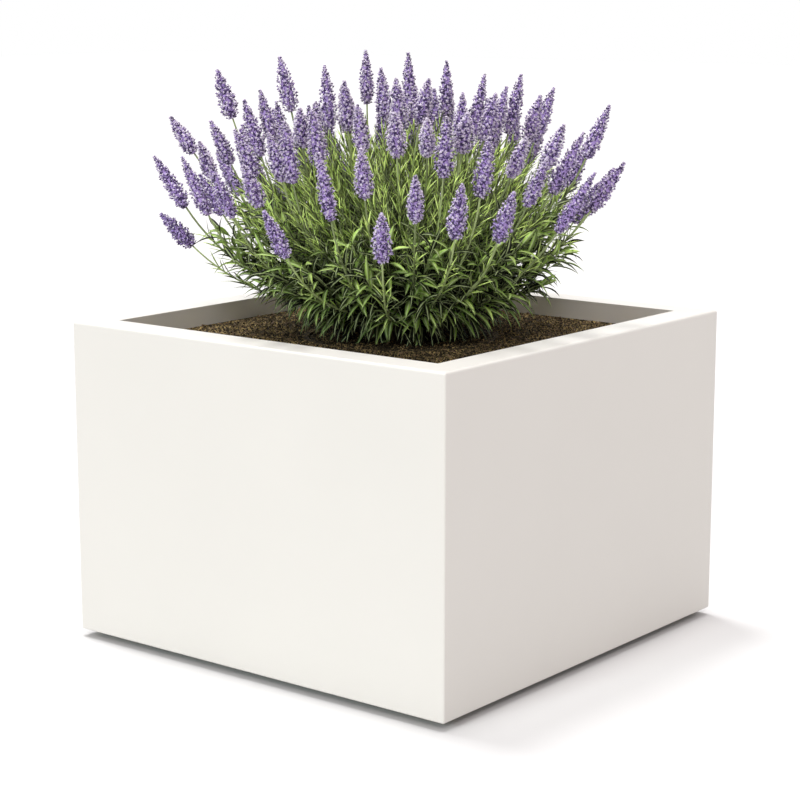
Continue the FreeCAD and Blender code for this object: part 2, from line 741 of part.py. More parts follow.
def fill_flower(index, count):
    """Foot and tip of one of the flowers that are spread over a dome."""
    share = math.sqrt((index + 0.5) / count)
    dome_radius = leaf_edge() + size("fill_overhang")
    rise = (size("fill_high") - size("fill_low")) * (1 - share**DOME_POWER) ** DOME_FLATNESS
    return flower_at(
        fill_direction(index),
        dome_radius * share * (1 + REACH_SWAY * sway(index, 2)),
        size("fill_low") + rise + size("fill_height_sway") * sway(index, 3),
        MIDDLE_LEAN + EDGE_LEAN * share**LEAN_POWER + LEAN_SWAY * sway(index, 4),
        SWING_SWAY * sway(index, 6),
        size("flower_length") + size("fill_length_sway") * sway(index, 7),
    )


def flower_layout():
    """Foot and tip of every flower: the set ones, then the others at the back where there is room."""
    flowers = []
    for direction, reach, height, lean, swing, length in SET_FLOWERS:
        flowers.append(
            flower_at(
                direction, leaf_edge() * reach, size("flower_high") * height, lean, swing,
                size("flower_length") * length,
            )
        )
    taken = [Part.makeLine(foot, tip) for foot, tip in flowers]
    count = int(size("fill_count"))
    for index in range(count):
        aside = (fill_direction(index) - FILL_MIDDLE + 180) % 360 - 180
        if abs(aside) > FILL_HALF_ANGLE:
            continue
        foot, tip = fill_flower(index, count)
        line = Part.makeLine(foot, tip)
        if min(line.distToShape(other)[0] for other in taken) > size("flower_spacing"):
            flowers.append((foot, tip))
            taken.append(line)
    return flowers


def half_mouth():
    """Half the smaller side of the planter's mouth."""
    return min(size("planter_width"), size("planter_depth")) / 2 - size("rim_width")


def stem_shape(foot, base, axis, radius):
    """A round stem from the crown that bends evenly into the flower's own direction."""
    chord = base - foot
    start = chord * (2 * chord.dot(axis) / chord.dot(chord)) - axis
    start.normalize()
    bend = start.getAngle(axis)
    section = Part.Face(Part.Wire(Part.makeCircle(radius, foot, start)))
    if bend < STRAIGHT:
        return section.extrude(chord)
    hinge = start.cross(axis)
    hinge.normalize()
    inward = hinge.cross(start)
    arc_radius = chord.Length / (2 * math.sin(bend / 2))
    return section.revolve(foot + inward * arc_radius, hinge, math.degrees(bend))


def spike_shape(foot, tip, middle, neck, point):
    """A spindle: narrow at its foot, full below the middle, pointed at its tip."""
    length = (tip - foot).Length
    fullest = Vector(middle, 0, FULLEST_AT * length)
    side = Part.Arc(Vector(neck, 0, 0), fullest, Vector(point, 0, length))
    outline = Part.Wire(
        [
            Part.makeLine(Vector(0, 0, 0), Vector(neck, 0, 0)),
            side.toShape(),
            Part.makeLine(Vector(point, 0, length), Vector(0, 0, length)),
            Part.makeLine(Vector(0, 0, length), Vector(0, 0, 0)),
        ]
    )
    spindle = Part.Face(outline).revolve(Vector(0, 0, 0), Vector(0, 0, 1), 360)
    turn = FreeCAD.Rotation(Vector(0, 0, 1), tip - foot)
    spindle.Placement = FreeCAD.Placement(foot, turn)
    return spindle


def make_flowers():
    """The flower stems and the spikes on their ends: one node each, a solid per flower.

    The higher a flower stands, the higher its stem leaves the crown.
    """
    stems = []
    spikes = []
    for foot, tip in flower_layout():
        axis = tip - foot
        axis.normalize()
        flat = Vector(foot.x, foot.y, 0)
        share = min(flat.Length / leaf_edge(), 1)
        flat.normalize()
        stem_foot = flat * (size("stem_foot_radius") * share)
        lift = size("stem_foot_spread") * (tip.z - soil_level()) / size("flower_high")
        stem_foot.z = soil_level() + size("stem_foot_height") + lift
        stem_end = foot + axis * size("stem_reach_in_flower")
        stems.append(stem_shape(stem_foot, stem_end, axis, size("stem_radius")))
        spikes.append(
            spike_shape(
                foot, tip, size("flower_radius"), size("flower_neck"), size("flower_point")
            )
        )
    for node, shapes in (("flower_stems", stems), ("flower_spikes", spikes)):
        feature = doc.addObject("Part::Feature", node + "_shape")
        feature.Shape = Part.makeCompound(shapes)
        feature.Placement = FreeCAD.Placement()
        name_sub_part(feature, node, solids=len(shapes))


def check_and_write():
    """Stop if any object failed or any sub-part is wrong, then write each sub-part."""
    doc.recompute()
    for thing in doc.Objects:
        if "Invalid" in thing.State or "Error" in thing.State:
            raise RuntimeError(f"{thing.Label} failed: {thing.State}")
    for node, (thing, solids) in sub_parts.items():
        shape = thing.Shape
        if shape.isNull() or not shape.isValid():
            raise RuntimeError(f"{node} has no valid shape")
        if len(shape.Solids) != solids:
            raise RuntimeError(f"{node} has {len(shape.Solids)} solids, not {solids}")
    os.makedirs("parts", exist_ok=True)
    for node, (thing, solids) in sub_parts.items():
        thing.Shape.exportStep(f"parts/{node}.step")
    print(f"{len(sub_parts)} sub-parts written")


make_shell()
make_rim_cores()
make_base_panel()
make_base_tabbing()
make_base_ribs()
make_foot_blocks()
make_foot_inserts()
make_foot_studs()
make_foot_pads()
for drain_side, drain_sign in SIDES.items():
    make_drain(drain_side, drain_sign)
make_granules()
make_fleece()
make_soil()
make_root_ball()
make_crown()
make_foliage()
make_flowers()
check_and_write()
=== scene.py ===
"""Planted floor planter in moulded polyester: its finishes, its soil and its lavender.

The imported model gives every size. The shell, the floor and the fittings are its own nodes with
better materials, and the soil, the root ball and the plant are modelled here in their place.
"""

import logging
import math
from collections.abc import Callable
from dataclasses import dataclass, field
from enum import Enum

import bpy
import numpy as np
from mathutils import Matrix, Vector, noise


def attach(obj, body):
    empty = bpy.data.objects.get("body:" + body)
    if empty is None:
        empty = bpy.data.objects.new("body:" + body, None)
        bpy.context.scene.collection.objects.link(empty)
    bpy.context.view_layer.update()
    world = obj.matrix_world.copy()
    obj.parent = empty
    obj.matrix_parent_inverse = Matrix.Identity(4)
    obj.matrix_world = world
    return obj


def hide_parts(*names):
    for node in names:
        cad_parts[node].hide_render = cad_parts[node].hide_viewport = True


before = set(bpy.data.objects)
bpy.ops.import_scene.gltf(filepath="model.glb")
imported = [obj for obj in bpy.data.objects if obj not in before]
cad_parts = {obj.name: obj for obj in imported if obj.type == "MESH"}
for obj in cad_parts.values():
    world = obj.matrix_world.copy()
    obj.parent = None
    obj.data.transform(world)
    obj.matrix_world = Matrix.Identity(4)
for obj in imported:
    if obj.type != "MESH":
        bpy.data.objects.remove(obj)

logging.basicConfig(level=logging.INFO, format="%(message)s")
log = logging.getLogger("planter")

Array = np.ndarray
Triple = tuple[float, float, float]
Colour = tuple[float, float, float]
Socket = bpy.types.NodeSocket

GOLDEN_ANGLE = math.pi * (3 - math.sqrt(5))
UP = np.array([[0.0, 0.0, 1.0]])
SOIL_TOP = 0.394
NEARLY_STRAIGHT = 1e-4


class Body(str, Enum):
    """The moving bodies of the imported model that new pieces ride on."""

    PLANTER = "planter"
    PLANT = "plant"


# Numbers and directions


def sway(index: Array | float, strand: float) -> Array | float:
    """A number from -1 to 1 that differs from copy to copy and is always the same.

    Args:
        index: The number of the copy.
        strand: Which of the copy's several numbers is wanted.

    Returns:
        The number, or an array of them.
    """
    return np.sin(12.9898 * index + 78.233 * strand + 1.7 * np.sin(4.1 * index + strand))


def numbered(count: int) -> Array:
    """The numbers of so many copies, from 0."""
    return np.arange(count).astype(float)


def columns(*values: Array | float) -> Array:
    """Values side by side, a column for each."""
    return np.stack(np.broadcast_arrays(*values), axis=1)


def unit(vectors: Array) -> Array:
    """The vectors along the last axis at length one."""
    return vectors / np.maximum(np.linalg.norm(vectors, axis=-1, keepdims=True), 1e-12)


def outward_at(angle: Array) -> Array:
    """The level directions at some angles."""
    return columns(np.cos(angle), np.sin(angle), 0.0)


def between(first: Array, second: Array, angle: Array) -> Array:
    """The directions that lie at some angles from the first towards the second."""
    return first * np.cos(angle)[:, None] + second * np.sin(angle)[:, None]


def square_to(heading: Array) -> tuple[Array, Array]:
    """Two directions square to each heading and to each other."""
    helper = np.where(np.abs(heading[:, 2:3]) > 0.9, [[1.0, 0, 0]], [[0, 0, 1.0]])
    first = unit(np.cross(helper, heading))
    return first, np.cross(heading, first)


# Modelling with operators


def make_active(thing: bpy.types.Object) -> None:
    """Select one object alone and make it the active one."""
    bpy.ops.object.select_all(action="DESELECT")
    thing.select_set(True)
    bpy.context.view_layer.objects.active = thing


def modelled(name: str = "shape") -> bpy.types.Object:
    """The object that an operator has just made, named, with its place put into its mesh."""
    thing = bpy.context.object
    thing.name = name
    make_active(thing)
    bpy.ops.object.transform_apply(location=True, rotation=True, scale=True)
    return thing


def leave_edit_mode() -> None:
    """Go back to object mode."""
    bpy.ops.object.mode_set(mode="OBJECT")


def select_parts(thing: bpy.types.Object, kind: str, wanted: Callable) -> None:
    """Go into edit mode with just the parts of a mesh selected that a test accepts.

    Args:
        thing: The mesh object.
        kind: What is tested and selected: VERT, EDGE or FACE.
        wanted: The test of a vertex, an edge or a face.
    """
    make_active(thing)
    bpy.ops.object.mode_set(mode="EDIT")
    bpy.ops.mesh.select_mode(type=kind)
    bpy.ops.mesh.select_all(action="DESELECT")
    leave_edit_mode()
    mesh = thing.data
    for part in {"VERT": mesh.vertices, "EDGE": mesh.edges, "FACE": mesh.polygons}[kind]:
        part.select = bool(wanted(part))
    bpy.ops.object.mode_set(mode="EDIT")


def merge_where(thing: bpy.types.Object, wanted: Callable) -> None:
    """Merge the vertices whose place a test accepts into one at their middle."""
    select_parts(thing, "VERT", lambda vertex: wanted(vertex.co))
    bpy.ops.mesh.merge(type="CENTER")
    leave_edit_mode()


def cut_edges(thing: bpy.types.Object, wanted: Callable, cuts: int) -> None:
    """Cut the edges whose two ends a test accepts into equal parts.

    Args:
        thing: The mesh object.
        wanted: The test of the places of an edge's two ends.
        cuts: How many cuts each gets.
    """
    places = thing.data.vertices
    select_parts(thing, "EDGE", lambda edge: wanted(*(places[number].co for number in edge.vertices)))
    bpy.ops.mesh.subdivide(number_cuts=cuts)
    leave_edit_mode()


def face_outwards(thing: bpy.types.Object, join: float = 0.0) -> None:
    """Turn the faces of each closed part of a mesh outwards.

    Args:
        thing: The mesh object.
        join: Vertices closer than this are joined first, in metres.
    """
    make_active(thing)
    bpy.ops.object.mode_set(mode="EDIT")
    bpy.ops.mesh.select_mode(type="VERT")
    bpy.ops.mesh.select_all(action="SELECT")
    if join:
        bpy.ops.mesh.remove_doubles(threshold=join)
    bpy.ops.mesh.normals_make_consistent(inside=False)
    leave_edit_mode()


# Copying a modelled shape many times


@dataclass
class Pattern:
    """A small modelled shape that is copied many times.

    Attributes:
        points: Its vertices, (n, 3).
        faces: Its faces, each a tuple of vertex numbers.
        marks: Named values, one for each vertex.
    """

    points: Array
    faces: list[tuple[int, ...]]
    marks: dict[str, Array] = field(default_factory=dict)

    @classmethod
    def take(cls, thing: bpy.types.Object) -> "Pattern":
        """Read a modelled object into a pattern and remove it."""
        mesh = thing.data
        points = np.array([vertex.co[:] for vertex in mesh.vertices])
        faces = [tuple(polygon.vertices) for polygon in mesh.polygons]
        bpy.data.objects.remove(thing)
        bpy.data.meshes.remove(mesh)
        return cls(points, faces)

    def place(self, foot: Array, heading: Array, turn: Array, size: Array) -> Array:
        """Copy the pattern to many places.

        Args:
            foot: Where its origin goes, (n, 3).
            heading: Where its Z goes, (n, 3), of length one.
            turn: How far it is turned about its Z, in radians, (n,).
            size: The length of its units, (n,) or (n, 3).

        Returns:
            The copies' vertices, (n, k, 3).
        """
        first, second = square_to(heading)
        axes = (between(first, second, turn), between(second, -first, turn), heading)
        scaled = self.points[None] * np.reshape(size, (len(foot), 1, -1))
        parts = (axis[:, None] * scaled[..., way:way + 1] for way, axis in enumerate(axes))
        return foot[:, None] + sum(parts)


class Sheaf:
    """Gathers many placed copies and makes one mesh of them."""

    def __init__(self, name: str) -> None:
        """Start an empty gathering for the piece of that name."""
        self.name = name
        self.points: list[Array] = []
        self.faces: list[Array] = []
        self.sizes: list[Array] = []
        self.marks: dict[str, list[Array]] = {}
        self.count = 0

    def add(self, placed: Array, faces: list[tuple[int, ...]], marks: dict[str, Array]) -> None:
        """Add copies of one pattern.

        Args:
            placed: The copies' vertices, (copies, n, 3).
            faces: The pattern's faces.
            marks: Named values for the vertices, (copies, n) each.
        """
        copies, each = placed.shape[:2]
        starts = self.count + each * np.arange(copies)
        self.points.append(placed.reshape(-1, 3))
        self.faces.append((starts[:, None] + np.concatenate(faces)[None]).ravel())
        self.sizes.append(np.tile([len(face) for face in faces], copies))
        for key, values in marks.items():
            self.marks.setdefault(key, []).append(np.broadcast_to(values, (copies, each)).ravel())
        self.count += copies * each

    def make(self, material: bpy.types.Material, smooth: bool = True) -> bpy.types.Object:
        """Make the piece.

        Args:
            material: Its material.
            smooth: Whether its faces are shaded smooth.

        Returns:
            The new object, which sits at the origin.
        """
        points, corners, sizes = (np.concatenate(part) for part in (self.points, self.faces, self.sizes))
        mesh = bpy.data.meshes.new(self.name)
        mesh.vertices.add(len(points))
        mesh.vertices.foreach_set("co", points.ravel())
        mesh.loops.add(len(corners))
        mesh.loops.foreach_set("vertex_index", corners)
        mesh.polygons.add(len(sizes))
        mesh.polygons.foreach_set("loop_start", np.cumsum(sizes) - sizes)
        mesh.update(calc_edges=True)
        mesh.validate()
        for key, values in self.marks.items():
            attribute = mesh.attributes.new(key, "FLOAT", "POINT")
            attribute.data.foreach_set("value", np.concatenate(values).astype(np.float32))
        mesh.polygons.foreach_set("use_smooth", np.full(len(mesh.polygons), smooth))
        mesh.materials.append(material)
        thing = bpy.data.objects.new(self.name, mesh)
        bpy.context.collection.objects.link(thing)
        return thing


@dataclass
class Arcs:
    """Many circular arcs, each in a plane of its own.

    Attributes:
        start: Where each begins, (n, 3).
        ahead: Its direction there, (n, 3).
        inward: The direction that it bends to, square to ahead, (n, 3).
        turn: How far its direction turns along it, in radians, (n,).
        length: Its length, (n,).
    """

    start: Array
    ahead: Array
    inward: Array
    turn: Array
    length: Array

    @classmethod
    def arriving(cls, start: Array, end: Array, heading: Array) -> "Arcs":
        """The arcs that leave one point for another and arrive with a given heading.

        Args:
            start: Where they begin, (n, 3).
            end: Where they end, (n, 3).
            heading: Their direction at the end, (n, 3), of length one.

        Returns:
            The arcs.
        """
        chord = end - start
        along = (chord * heading).sum(-1, keepdims=True)
        reach = np.linalg.norm(chord, axis=-1)
        ahead = unit(chord * 2 * along / (reach**2)[:, None] - heading)
        turn = np.maximum(np.arccos(np.clip((ahead * heading).sum(-1), -1, 1)), NEARLY_STRAIGHT)
        return cls.leaving(start, ahead, heading, turn, reach * turn / (2 * np.sin(turn / 2)))

    @classmethod
    def leaving(cls, start: Array, ahead: Array, towards: Array, turn: Array, length: Array) -> "Arcs":
        """The arcs that leave their start in one direction and bend to another.

        Args:
            start: Where they begin, (n, 3).
            ahead: Their first direction, (n, 3), of length one.
            towards: Roughly where they bend to, (n, 3).
            turn: How far they bend, in radians, (n,).
            length: Their lengths, (n,).

        Returns:
            The arcs.
        """
        inward = unit(towards - ahead * (towards * ahead).sum(-1, keepdims=True))
        return cls(start, ahead, inward, np.maximum(turn, NEARLY_STRAIGHT), length)

    def some(self, wanted: Array) -> "Arcs":
        """The arcs that a mask or a list of numbers names."""
        parts = (self.start, self.ahead, self.inward, self.turn, self.length)
        return Arcs(*(part[wanted] for part in parts))

    def at(self, share: Array) -> Array:
        """The points at shares of the arcs' lengths, (n, k) to (n, k, 3)."""
        angle = self.turn[:, None] * share
        scale = (self.length / self.turn)[:, None]
        along, across = scale * np.sin(angle), scale * (1 - np.cos(angle))
        forwards, sideways = self.ahead[:, None] * along[..., None], self.inward[:, None] * across[..., None]
        return self.start[:, None] + forwards + sideways

    def heading(self, share: Array) -> Array:
        """The directions at shares of the arcs' lengths, (n, k) to (n, k, 3)."""
        angle = (self.turn[:, None] * share)[..., None]
        return self.ahead[:, None] * np.cos(angle) + self.inward[:, None] * np.sin(angle)

    def away(self, share: Array) -> Array:
        """The directions away from the inside of the bend, (n, k) to (n, k, 3)."""
        angle = (self.turn[:, None] * share)[..., None]
        return self.ahead[:, None] * np.sin(angle) - self.inward[:, None] * np.cos(angle)

    def sweep(self, pattern: Pattern, girth: Array) -> Array:
        """Lay a pattern that stands along Z from 0 to 1 on each arc.

        Args:
            pattern: The pattern.
            girth: What one unit of its X and Y becomes, (n,) or (n, k).

        Returns:
            The copies' vertices, (n, k, 3).
        """
        share = np.broadcast_to(pattern.points[:, 2], (len(self.start), len(pattern.points)))
        side = np.cross(self.ahead, self.inward)[:, None]
        girth = np.reshape(girth, (len(self.start), -1))
        wide, deep = girth * pattern.points[:, 0], girth * pattern.points[:, 1]
        return self.at(share) + side * wide[..., None] + self.away(share) * deep[..., None]


# The shapes that are copied


def make_rod(sides: int, rings: int) -> bpy.types.Object:
    """A closed round rod of radius one along Z from 0 to 1, with rings of edges between its ends."""
    bpy.ops.mesh.primitive_cylinder_add(vertices=sides, radius=1, depth=1, location=(0, 0, 0.5))
    rod = modelled()
    cut_edges(rod, lambda low, high: abs(high.z - low.z) > 0.5, rings)
    return rod


def leaf_pattern(rings: int, fullest: float) -> Pattern:
    """A closed lance-shaped leaf along Z from 0 to 1, folded at its midrib.

    Args:
        rings: How many rings of edges it has between its foot and its tip.
        fullest: Where it is widest, as a share of its length.

    Returns:
        The pattern, with the marks across, from -1 to 1, and along, from 0 to 1.
    """
    stalk, fold, upper, under = 0.12, 0.46, 0.10, -0.06
    leaf = make_rod(4, rings)
    for vertex in leaf.data.vertices:
        share = vertex.co.z
        is_low = share < fullest
        bow = share / fullest if is_low else (1 - share) / (1 - fullest)
        width = stalk * (1 - share) + (1 - stalk) * math.sin(bow * math.pi / 2) ** (1.0 if is_low else 1.25)
        is_edge = abs(vertex.co.x) > 0.5
        rise = fold if is_edge else (upper if vertex.co.y > 0 else under)
        vertex.co.x = math.copysign(width, vertex.co.x) if is_edge else 0
        vertex.co.y = rise * width
    merge_where(leaf, lambda place: place.z > 0.999)
    pattern = Pattern.take(leaf)
    pattern.points[:, :2] /= np.abs(pattern.points[:, 0]).max()
    pattern.marks = {"across": np.sign(pattern.points[:, 0]), "along": pattern.points[:, 2]}
    return pattern


def crumb_pattern(shape: float) -> Pattern:
    """An uneven crumb of radius about one, in the shape that a number picks."""
    bpy.ops.mesh.primitive_ico_sphere_add(subdivisions=1, radius=1)
    crumb = bpy.context.object
    for number, vertex in enumerate(crumb.data.vertices):
        vertex.co *= 1 + 0.28 * float(sway(number, shape))
    return Pattern.take(crumb)


def floret_pattern() -> Pattern:
    """One floret along Z: a narrow cup that opens in four lobes.

    Returns:
        The pattern, with the mark lobe from 0 at its foot to 1 at the lobes' ends.
    """
    cup_depth, throat = 0.6, 0.62
    (lobe_reach, lobe_height), (notch_reach, notch_height) = (0.43, 0.90), (0.16, 0.74)
    bpy.ops.mesh.primitive_cone_add(
        vertices=8, radius1=0.05, radius2=0.24, depth=cup_depth, location=(0, 0, cup_depth / 2),
        end_fill_type="NGON",
    )
    floret = modelled()
    merge_where(floret, lambda place: place.z < 0.01)
    select_parts(floret, "FACE", lambda face: face.normal.z > 0.9)
    bpy.ops.mesh.extrude_region_move(TRANSFORM_OT_translate={"value": (0, 0, 0.26)})
    bpy.ops.mesh.poke()
    leave_edit_mode()
    for vertex in floret.data.vertices:
        if vertex.co.z <= 0.8:
            continue
        radius = math.hypot(vertex.co.x, vertex.co.y)
        if radius < 0.05:
            vertex.co.z = throat
            continue
        is_lobe = round(math.atan2(vertex.co.y, vertex.co.x) / (math.pi / 4)) % 2 == 0
        stretch = (lobe_reach if is_lobe else notch_reach) / radius
        vertex.co.x *= stretch
        vertex.co.y *= stretch
        vertex.co.z = lobe_height if is_lobe else notch_height
    pattern = Pattern.take(floret)
    reach = np.hypot(pattern.points[:, 0], pattern.points[:, 1])
    pattern.marks["lobe"] = np.clip(reach / lobe_reach, 0, 1) * (pattern.points[:, 2] > 0.65)
    return pattern


# Shader nodes


class Graph:
    """Adds nodes to one node tree and joins them."""

    def __init__(self, tree: bpy.types.NodeTree) -> None:
        """Work on the tree of a material or a group."""
        self.tree = tree

    def put(self, socket: Socket, value: object) -> None:
        """Give a socket a value, or join another socket to it."""
        if isinstance(value, Socket):
            self.tree.links.new(value, socket)
        elif isinstance(value, tuple) and len(value) == 3 and socket.type == "RGBA":
            socket.default_value = (*value, 1)
        else:
            socket.default_value = value

    def node(
        self, kind: str, inputs: dict[str | int, object] | None = None, **settings: object
    ) -> bpy.types.Node:
        """Add a node.

        Args:
            kind: The node's type, without its first word ShaderNode.
            inputs: A value or a socket for each input that is set, by name or number.
            settings: The node's own settings.

        Returns:
            The node.
        """
        made = self.tree.nodes.new("ShaderNode" + kind)
        for key, value in settings.items():
            setattr(made, key, value)
        for key, value in (inputs or {}).items():
            self.put(made.inputs[key], value)
        return made

    def math(self, operation: str, first: object, second: object = 0.0) -> Socket:
        """The result of a sum on two values."""
        return self.node("Math", {0: first, 1: second}, operation=operation).outputs[0]

    def blend(self, share: object, first: object, second: object) -> Socket:
        """A mix of two colours."""
        return self.node("Mix", {0: share, 6: first, 7: second}, data_type="RGBA").outputs[2]

    def tint(self, share: object, first: object, second: object) -> Socket:
        """One colour multiplied by another, by a share."""
        inputs = {0: share, 6: first, 7: second}
        return self.node("Mix", inputs, data_type="RGBA", blend_type="MULTIPLY").outputs[2]

    def scaled(self, colour: object, factor: object) -> Socket:
        """A colour made lighter or darker by a factor."""
        grey = self.node("CombineColor", {0: factor, 1: factor, 2: factor}).outputs[0]
        return self.tint(1.0, colour, grey)

    def span(
        self, value: object, low: float, high: float, to_low: float = 0.0, to_high: float = 1.0
    ) -> Socket:
        """A value moved from one span to another and kept inside it."""
        inputs = {"Value": value, "From Min": low, "From Max": high, "To Min": to_low, "To Max": to_high}
        return self.node("MapRange", inputs).outputs[0]

    def noise(self, place: object, scale: object, detail: float = 3.0, rough: float = 0.5) -> Socket:
        """Soft noise at a scale, from 0 to 1."""
        inputs = {"Vector": place, "Scale": scale, "Detail": detail, "Roughness": rough}
        return self.node("TexNoise", inputs).outputs[0]

    def cells(self, place: object, scale: object) -> tuple[Socket, Socket]:
        """A pattern of cells at a scale: a number for each cell, and the distance from its middle."""
        cells = self.node("TexVoronoi", {"Vector": place, "Scale": scale}, feature="F1")
        return self.node("SeparateColor", {0: cells.outputs["Color"]}).outputs[0], cells.outputs["Distance"]

    def place(self) -> Socket:
        """The object's own coordinates, in metres."""
        return self.node("TexCoord").outputs["Object"]

    def stretch(self, place: object, scale: Triple) -> Socket:
        """The coordinates, scaled along each axis."""
        return self.node("Mapping", {"Vector": place, "Scale": scale}).outputs[0]

    def mark(self, name: str) -> Socket:
        """A named value of the mesh."""
        return self.node("Attribute", attribute_name=name).outputs["Fac"]

    def cover(
        self, shader: bpy.types.Node, colour: object, roughness: object, height: object, depth: float
    ) -> None:
        """Give a Principled shader its surface.

        Args:
            shader: The shader.
            colour: Its colour.
            roughness: How dull it is.
            height: Its relief.
            depth: How deep that is, in metres.
        """
        self.put(shader.inputs["Base Color"], colour)
        self.put(shader.inputs["Roughness"], roughness)
        normal = self.node("Bump", {"Height": height, "Distance": depth, "Strength": 1.0})
        self.put(shader.inputs["Normal"], normal.outputs[0])


class Effect(str, Enum):
    """The effects that several finishes share."""

    MOTTLE = "mottle"
    GRAINS = "grains"
    FIBRES = "fibres"
    SCUFF = "scuff"

    def use(self, graph: Graph, inputs: dict[str, object]) -> bpy.types.bpy_prop_collection:
        """Place the effect's node group, made at its first use, in a material.

        Args:
            graph: The material's graph.
            inputs: A value or a socket for each named input that is set.

        Returns:
            The group's outputs by name.
        """
        made = graph.tree.nodes.new("ShaderNodeGroup")
        made.node_tree = bpy.data.node_groups.get(self.value) or getattr(self, f"make_{self.value}")()
        for key, value in inputs.items():
            graph.put(made.inputs[key], value)
        return made.outputs

    def start(self, inputs: dict[str, object], outputs: dict[str, str]) -> tuple[Graph, object, object]:
        """Start the effect's node group.

        Args:
            inputs: The first value of each named input, or None for a vector.
            outputs: The type of each named output.

        Returns:
            The graph in the group, the sockets that give its inputs and those that take its outputs.
        """
        tree = bpy.data.node_groups.new(self.value, "ShaderNodeTree")
        for key, first in inputs.items():
            kind = {type(None): "Vector", tuple: "Color", float: "Float"}[type(first)]
            socket = tree.interface.new_socket(key, in_out="INPUT", socket_type="NodeSocket" + kind)
            if first is not None:
                socket.default_value = (*first, 1) if kind == "Color" else first
        for key, kind in outputs.items():
            tree.interface.new_socket(key, in_out="OUTPUT", socket_type="NodeSocket" + kind)
        given, end = tree.nodes.new("NodeGroupInput"), tree.nodes.new("NodeGroupOutput")
        return Graph(tree), given.outputs, end.inputs

    def make_mottle(self) -> bpy.types.NodeTree:
        """Soft clouds in a colour, and the fine unevenness of a moulded surface."""
        inputs = {
            "Vector": None, "Colour": (0.5, 0.5, 0.5), "Cloud Scale": 6.0, "Cloud Strength": 0.05,
            "Peel Scale": 300.0,
        }
        graph, given, end = self.start(inputs, {"Colour": "Color", "Height": "Float", "Cloud": "Float"})
        cloud = graph.noise(given["Vector"], given["Cloud Scale"], 4)
        shade = graph.math("MULTIPLY", graph.math("SUBTRACT", cloud, 0.5), given["Cloud Strength"])
        graph.put(end["Colour"], graph.scaled(given["Colour"], graph.math("ADD", shade, 1.0)))
        graph.put(end["Height"], graph.noise(given["Vector"], given["Peel Scale"], 2))
        graph.put(end["Cloud"], cloud)
        return graph.tree

    def make_grains(self) -> bpy.types.NodeTree:
        """Grains of two colours with painted shade in the gaps between them."""
        inputs = {
            "Vector": None, "Dark": (0.02, 0.01, 0.01), "Light": (0.1, 0.06, 0.04), "Grain Scale": 250.0,
            "Light Share": 0.3,
        }
        graph, given, end = self.start(inputs, {"Colour": "Color", "Height": "Float"})
        place = given["Vector"]
        drift = graph.node("TexNoise", {"Vector": place, "Scale": 90.0, "Detail": 3.0}).outputs["Color"]
        drift = graph.node("VectorMath", {0: drift, 1: (0.006,) * 3}, operation="MULTIPLY").outputs[0]
        warped = graph.node("VectorMath", {0: place, 1: drift}, operation="ADD").outputs[0]
        pick, distance = graph.cells(warped, given["Grain Scale"])
        light = graph.math("GREATER_THAN", given["Light Share"], pick)
        patch = graph.span(graph.noise(place, 35.0, 4), 0.35, 0.65, 0.25, 1.0)
        body = graph.blend(graph.math("MULTIPLY", light, patch), given["Dark"], given["Light"])
        # Painted shade: each grain darkens towards its edge, where the gaps between grains lie; the same mask
        # gives the relief.
        gap_shade = graph.span(distance, 0.35, 0.8, 1.0, 0.25)
        graph.put(end["Colour"], graph.scaled(body, gap_shade))
        graph.put(end["Height"], gap_shade)
        return graph.tree

    def make_fibres(self) -> bpy.types.NodeTree:
        """Fine threads that lie along one way of stretched coordinates."""
        inputs = {"Vector": None, "Dark": (0.3, 0.2, 0.1), "Light": (0.6, 0.5, 0.3), "Thread Scale": 400.0}
        graph, given, end = self.start(inputs, {"Colour": "Color", "Height": "Float"})
        broad = graph.noise(given["Vector"], graph.math("MULTIPLY", given["Thread Scale"], 0.12), 4)
        thread = graph.noise(given["Vector"], given["Thread Scale"], 6, 0.65)
        share = graph.span(graph.math("ADD", broad, thread), 0.7, 1.3)
        graph.put(end["Colour"], graph.blend(share, given["Dark"], given["Light"]))
        graph.put(end["Height"], thread)
        return graph.tree

    def make_scuff(self) -> bpy.types.NodeTree:
        """Where a surface has been rubbed: thin short marks, from 0 to 1."""
        inputs = {"Vector": None, "Mark Scale": 60.0, "Amount": 0.5}
        graph, given, end = self.start(inputs, {"Mask": "Float"})
        drawn = graph.stretch(given["Vector"], (1.0, 1.0, 0.12))
        lines = graph.noise(drawn, given["Mark Scale"], 8, 0.7)
        patch = graph.noise(given["Vector"], 9.0, 2)
        mask = graph.math("MULTIPLY", graph.span(lines, 0.62, 0.72), graph.span(patch, 0.45, 0.65))
        graph.put(end["Mask"], graph.math("MULTIPLY", mask, given["Amount"]))
        return graph.tree


# Finishes


@dataclass(frozen=True)
class Finish:
    """A finish that the materials of this object start from.

    Attributes:
        name: The material's name.
        colour: Its main colour, linear.
        roughness: How dull it is.
    """

    name: str
    colour: Colour
    roughness: float

    def material(self) -> bpy.types.Material:
        """The finish's material, made at its first use."""
        name = f"{self.name}_finish"
        found = bpy.data.materials.get(name)
        if found:
            return found
        made = bpy.data.materials.new(name)
        made.use_nodes = True
        made.diffuse_color = (*self.colour, 1)
        shader = made.node_tree.nodes["Principled BSDF"]
        shader.inputs["Base Color"].default_value = (*self.colour, 1)
        shader.inputs["Roughness"].default_value = self.roughness
        self.dress(Graph(made.node_tree), shader)
        return made

    def dress(self, graph: Graph, shader: bpy.types.Node) -> None:
        """Give the material's Principled shader its pattern."""
        raise NotImplementedError

    def wear(self, thing: bpy.types.Object) -> None:
        """Put the material on every slot of an object."""
        for slot in thing.material_slots:
            slot.material = self.material()


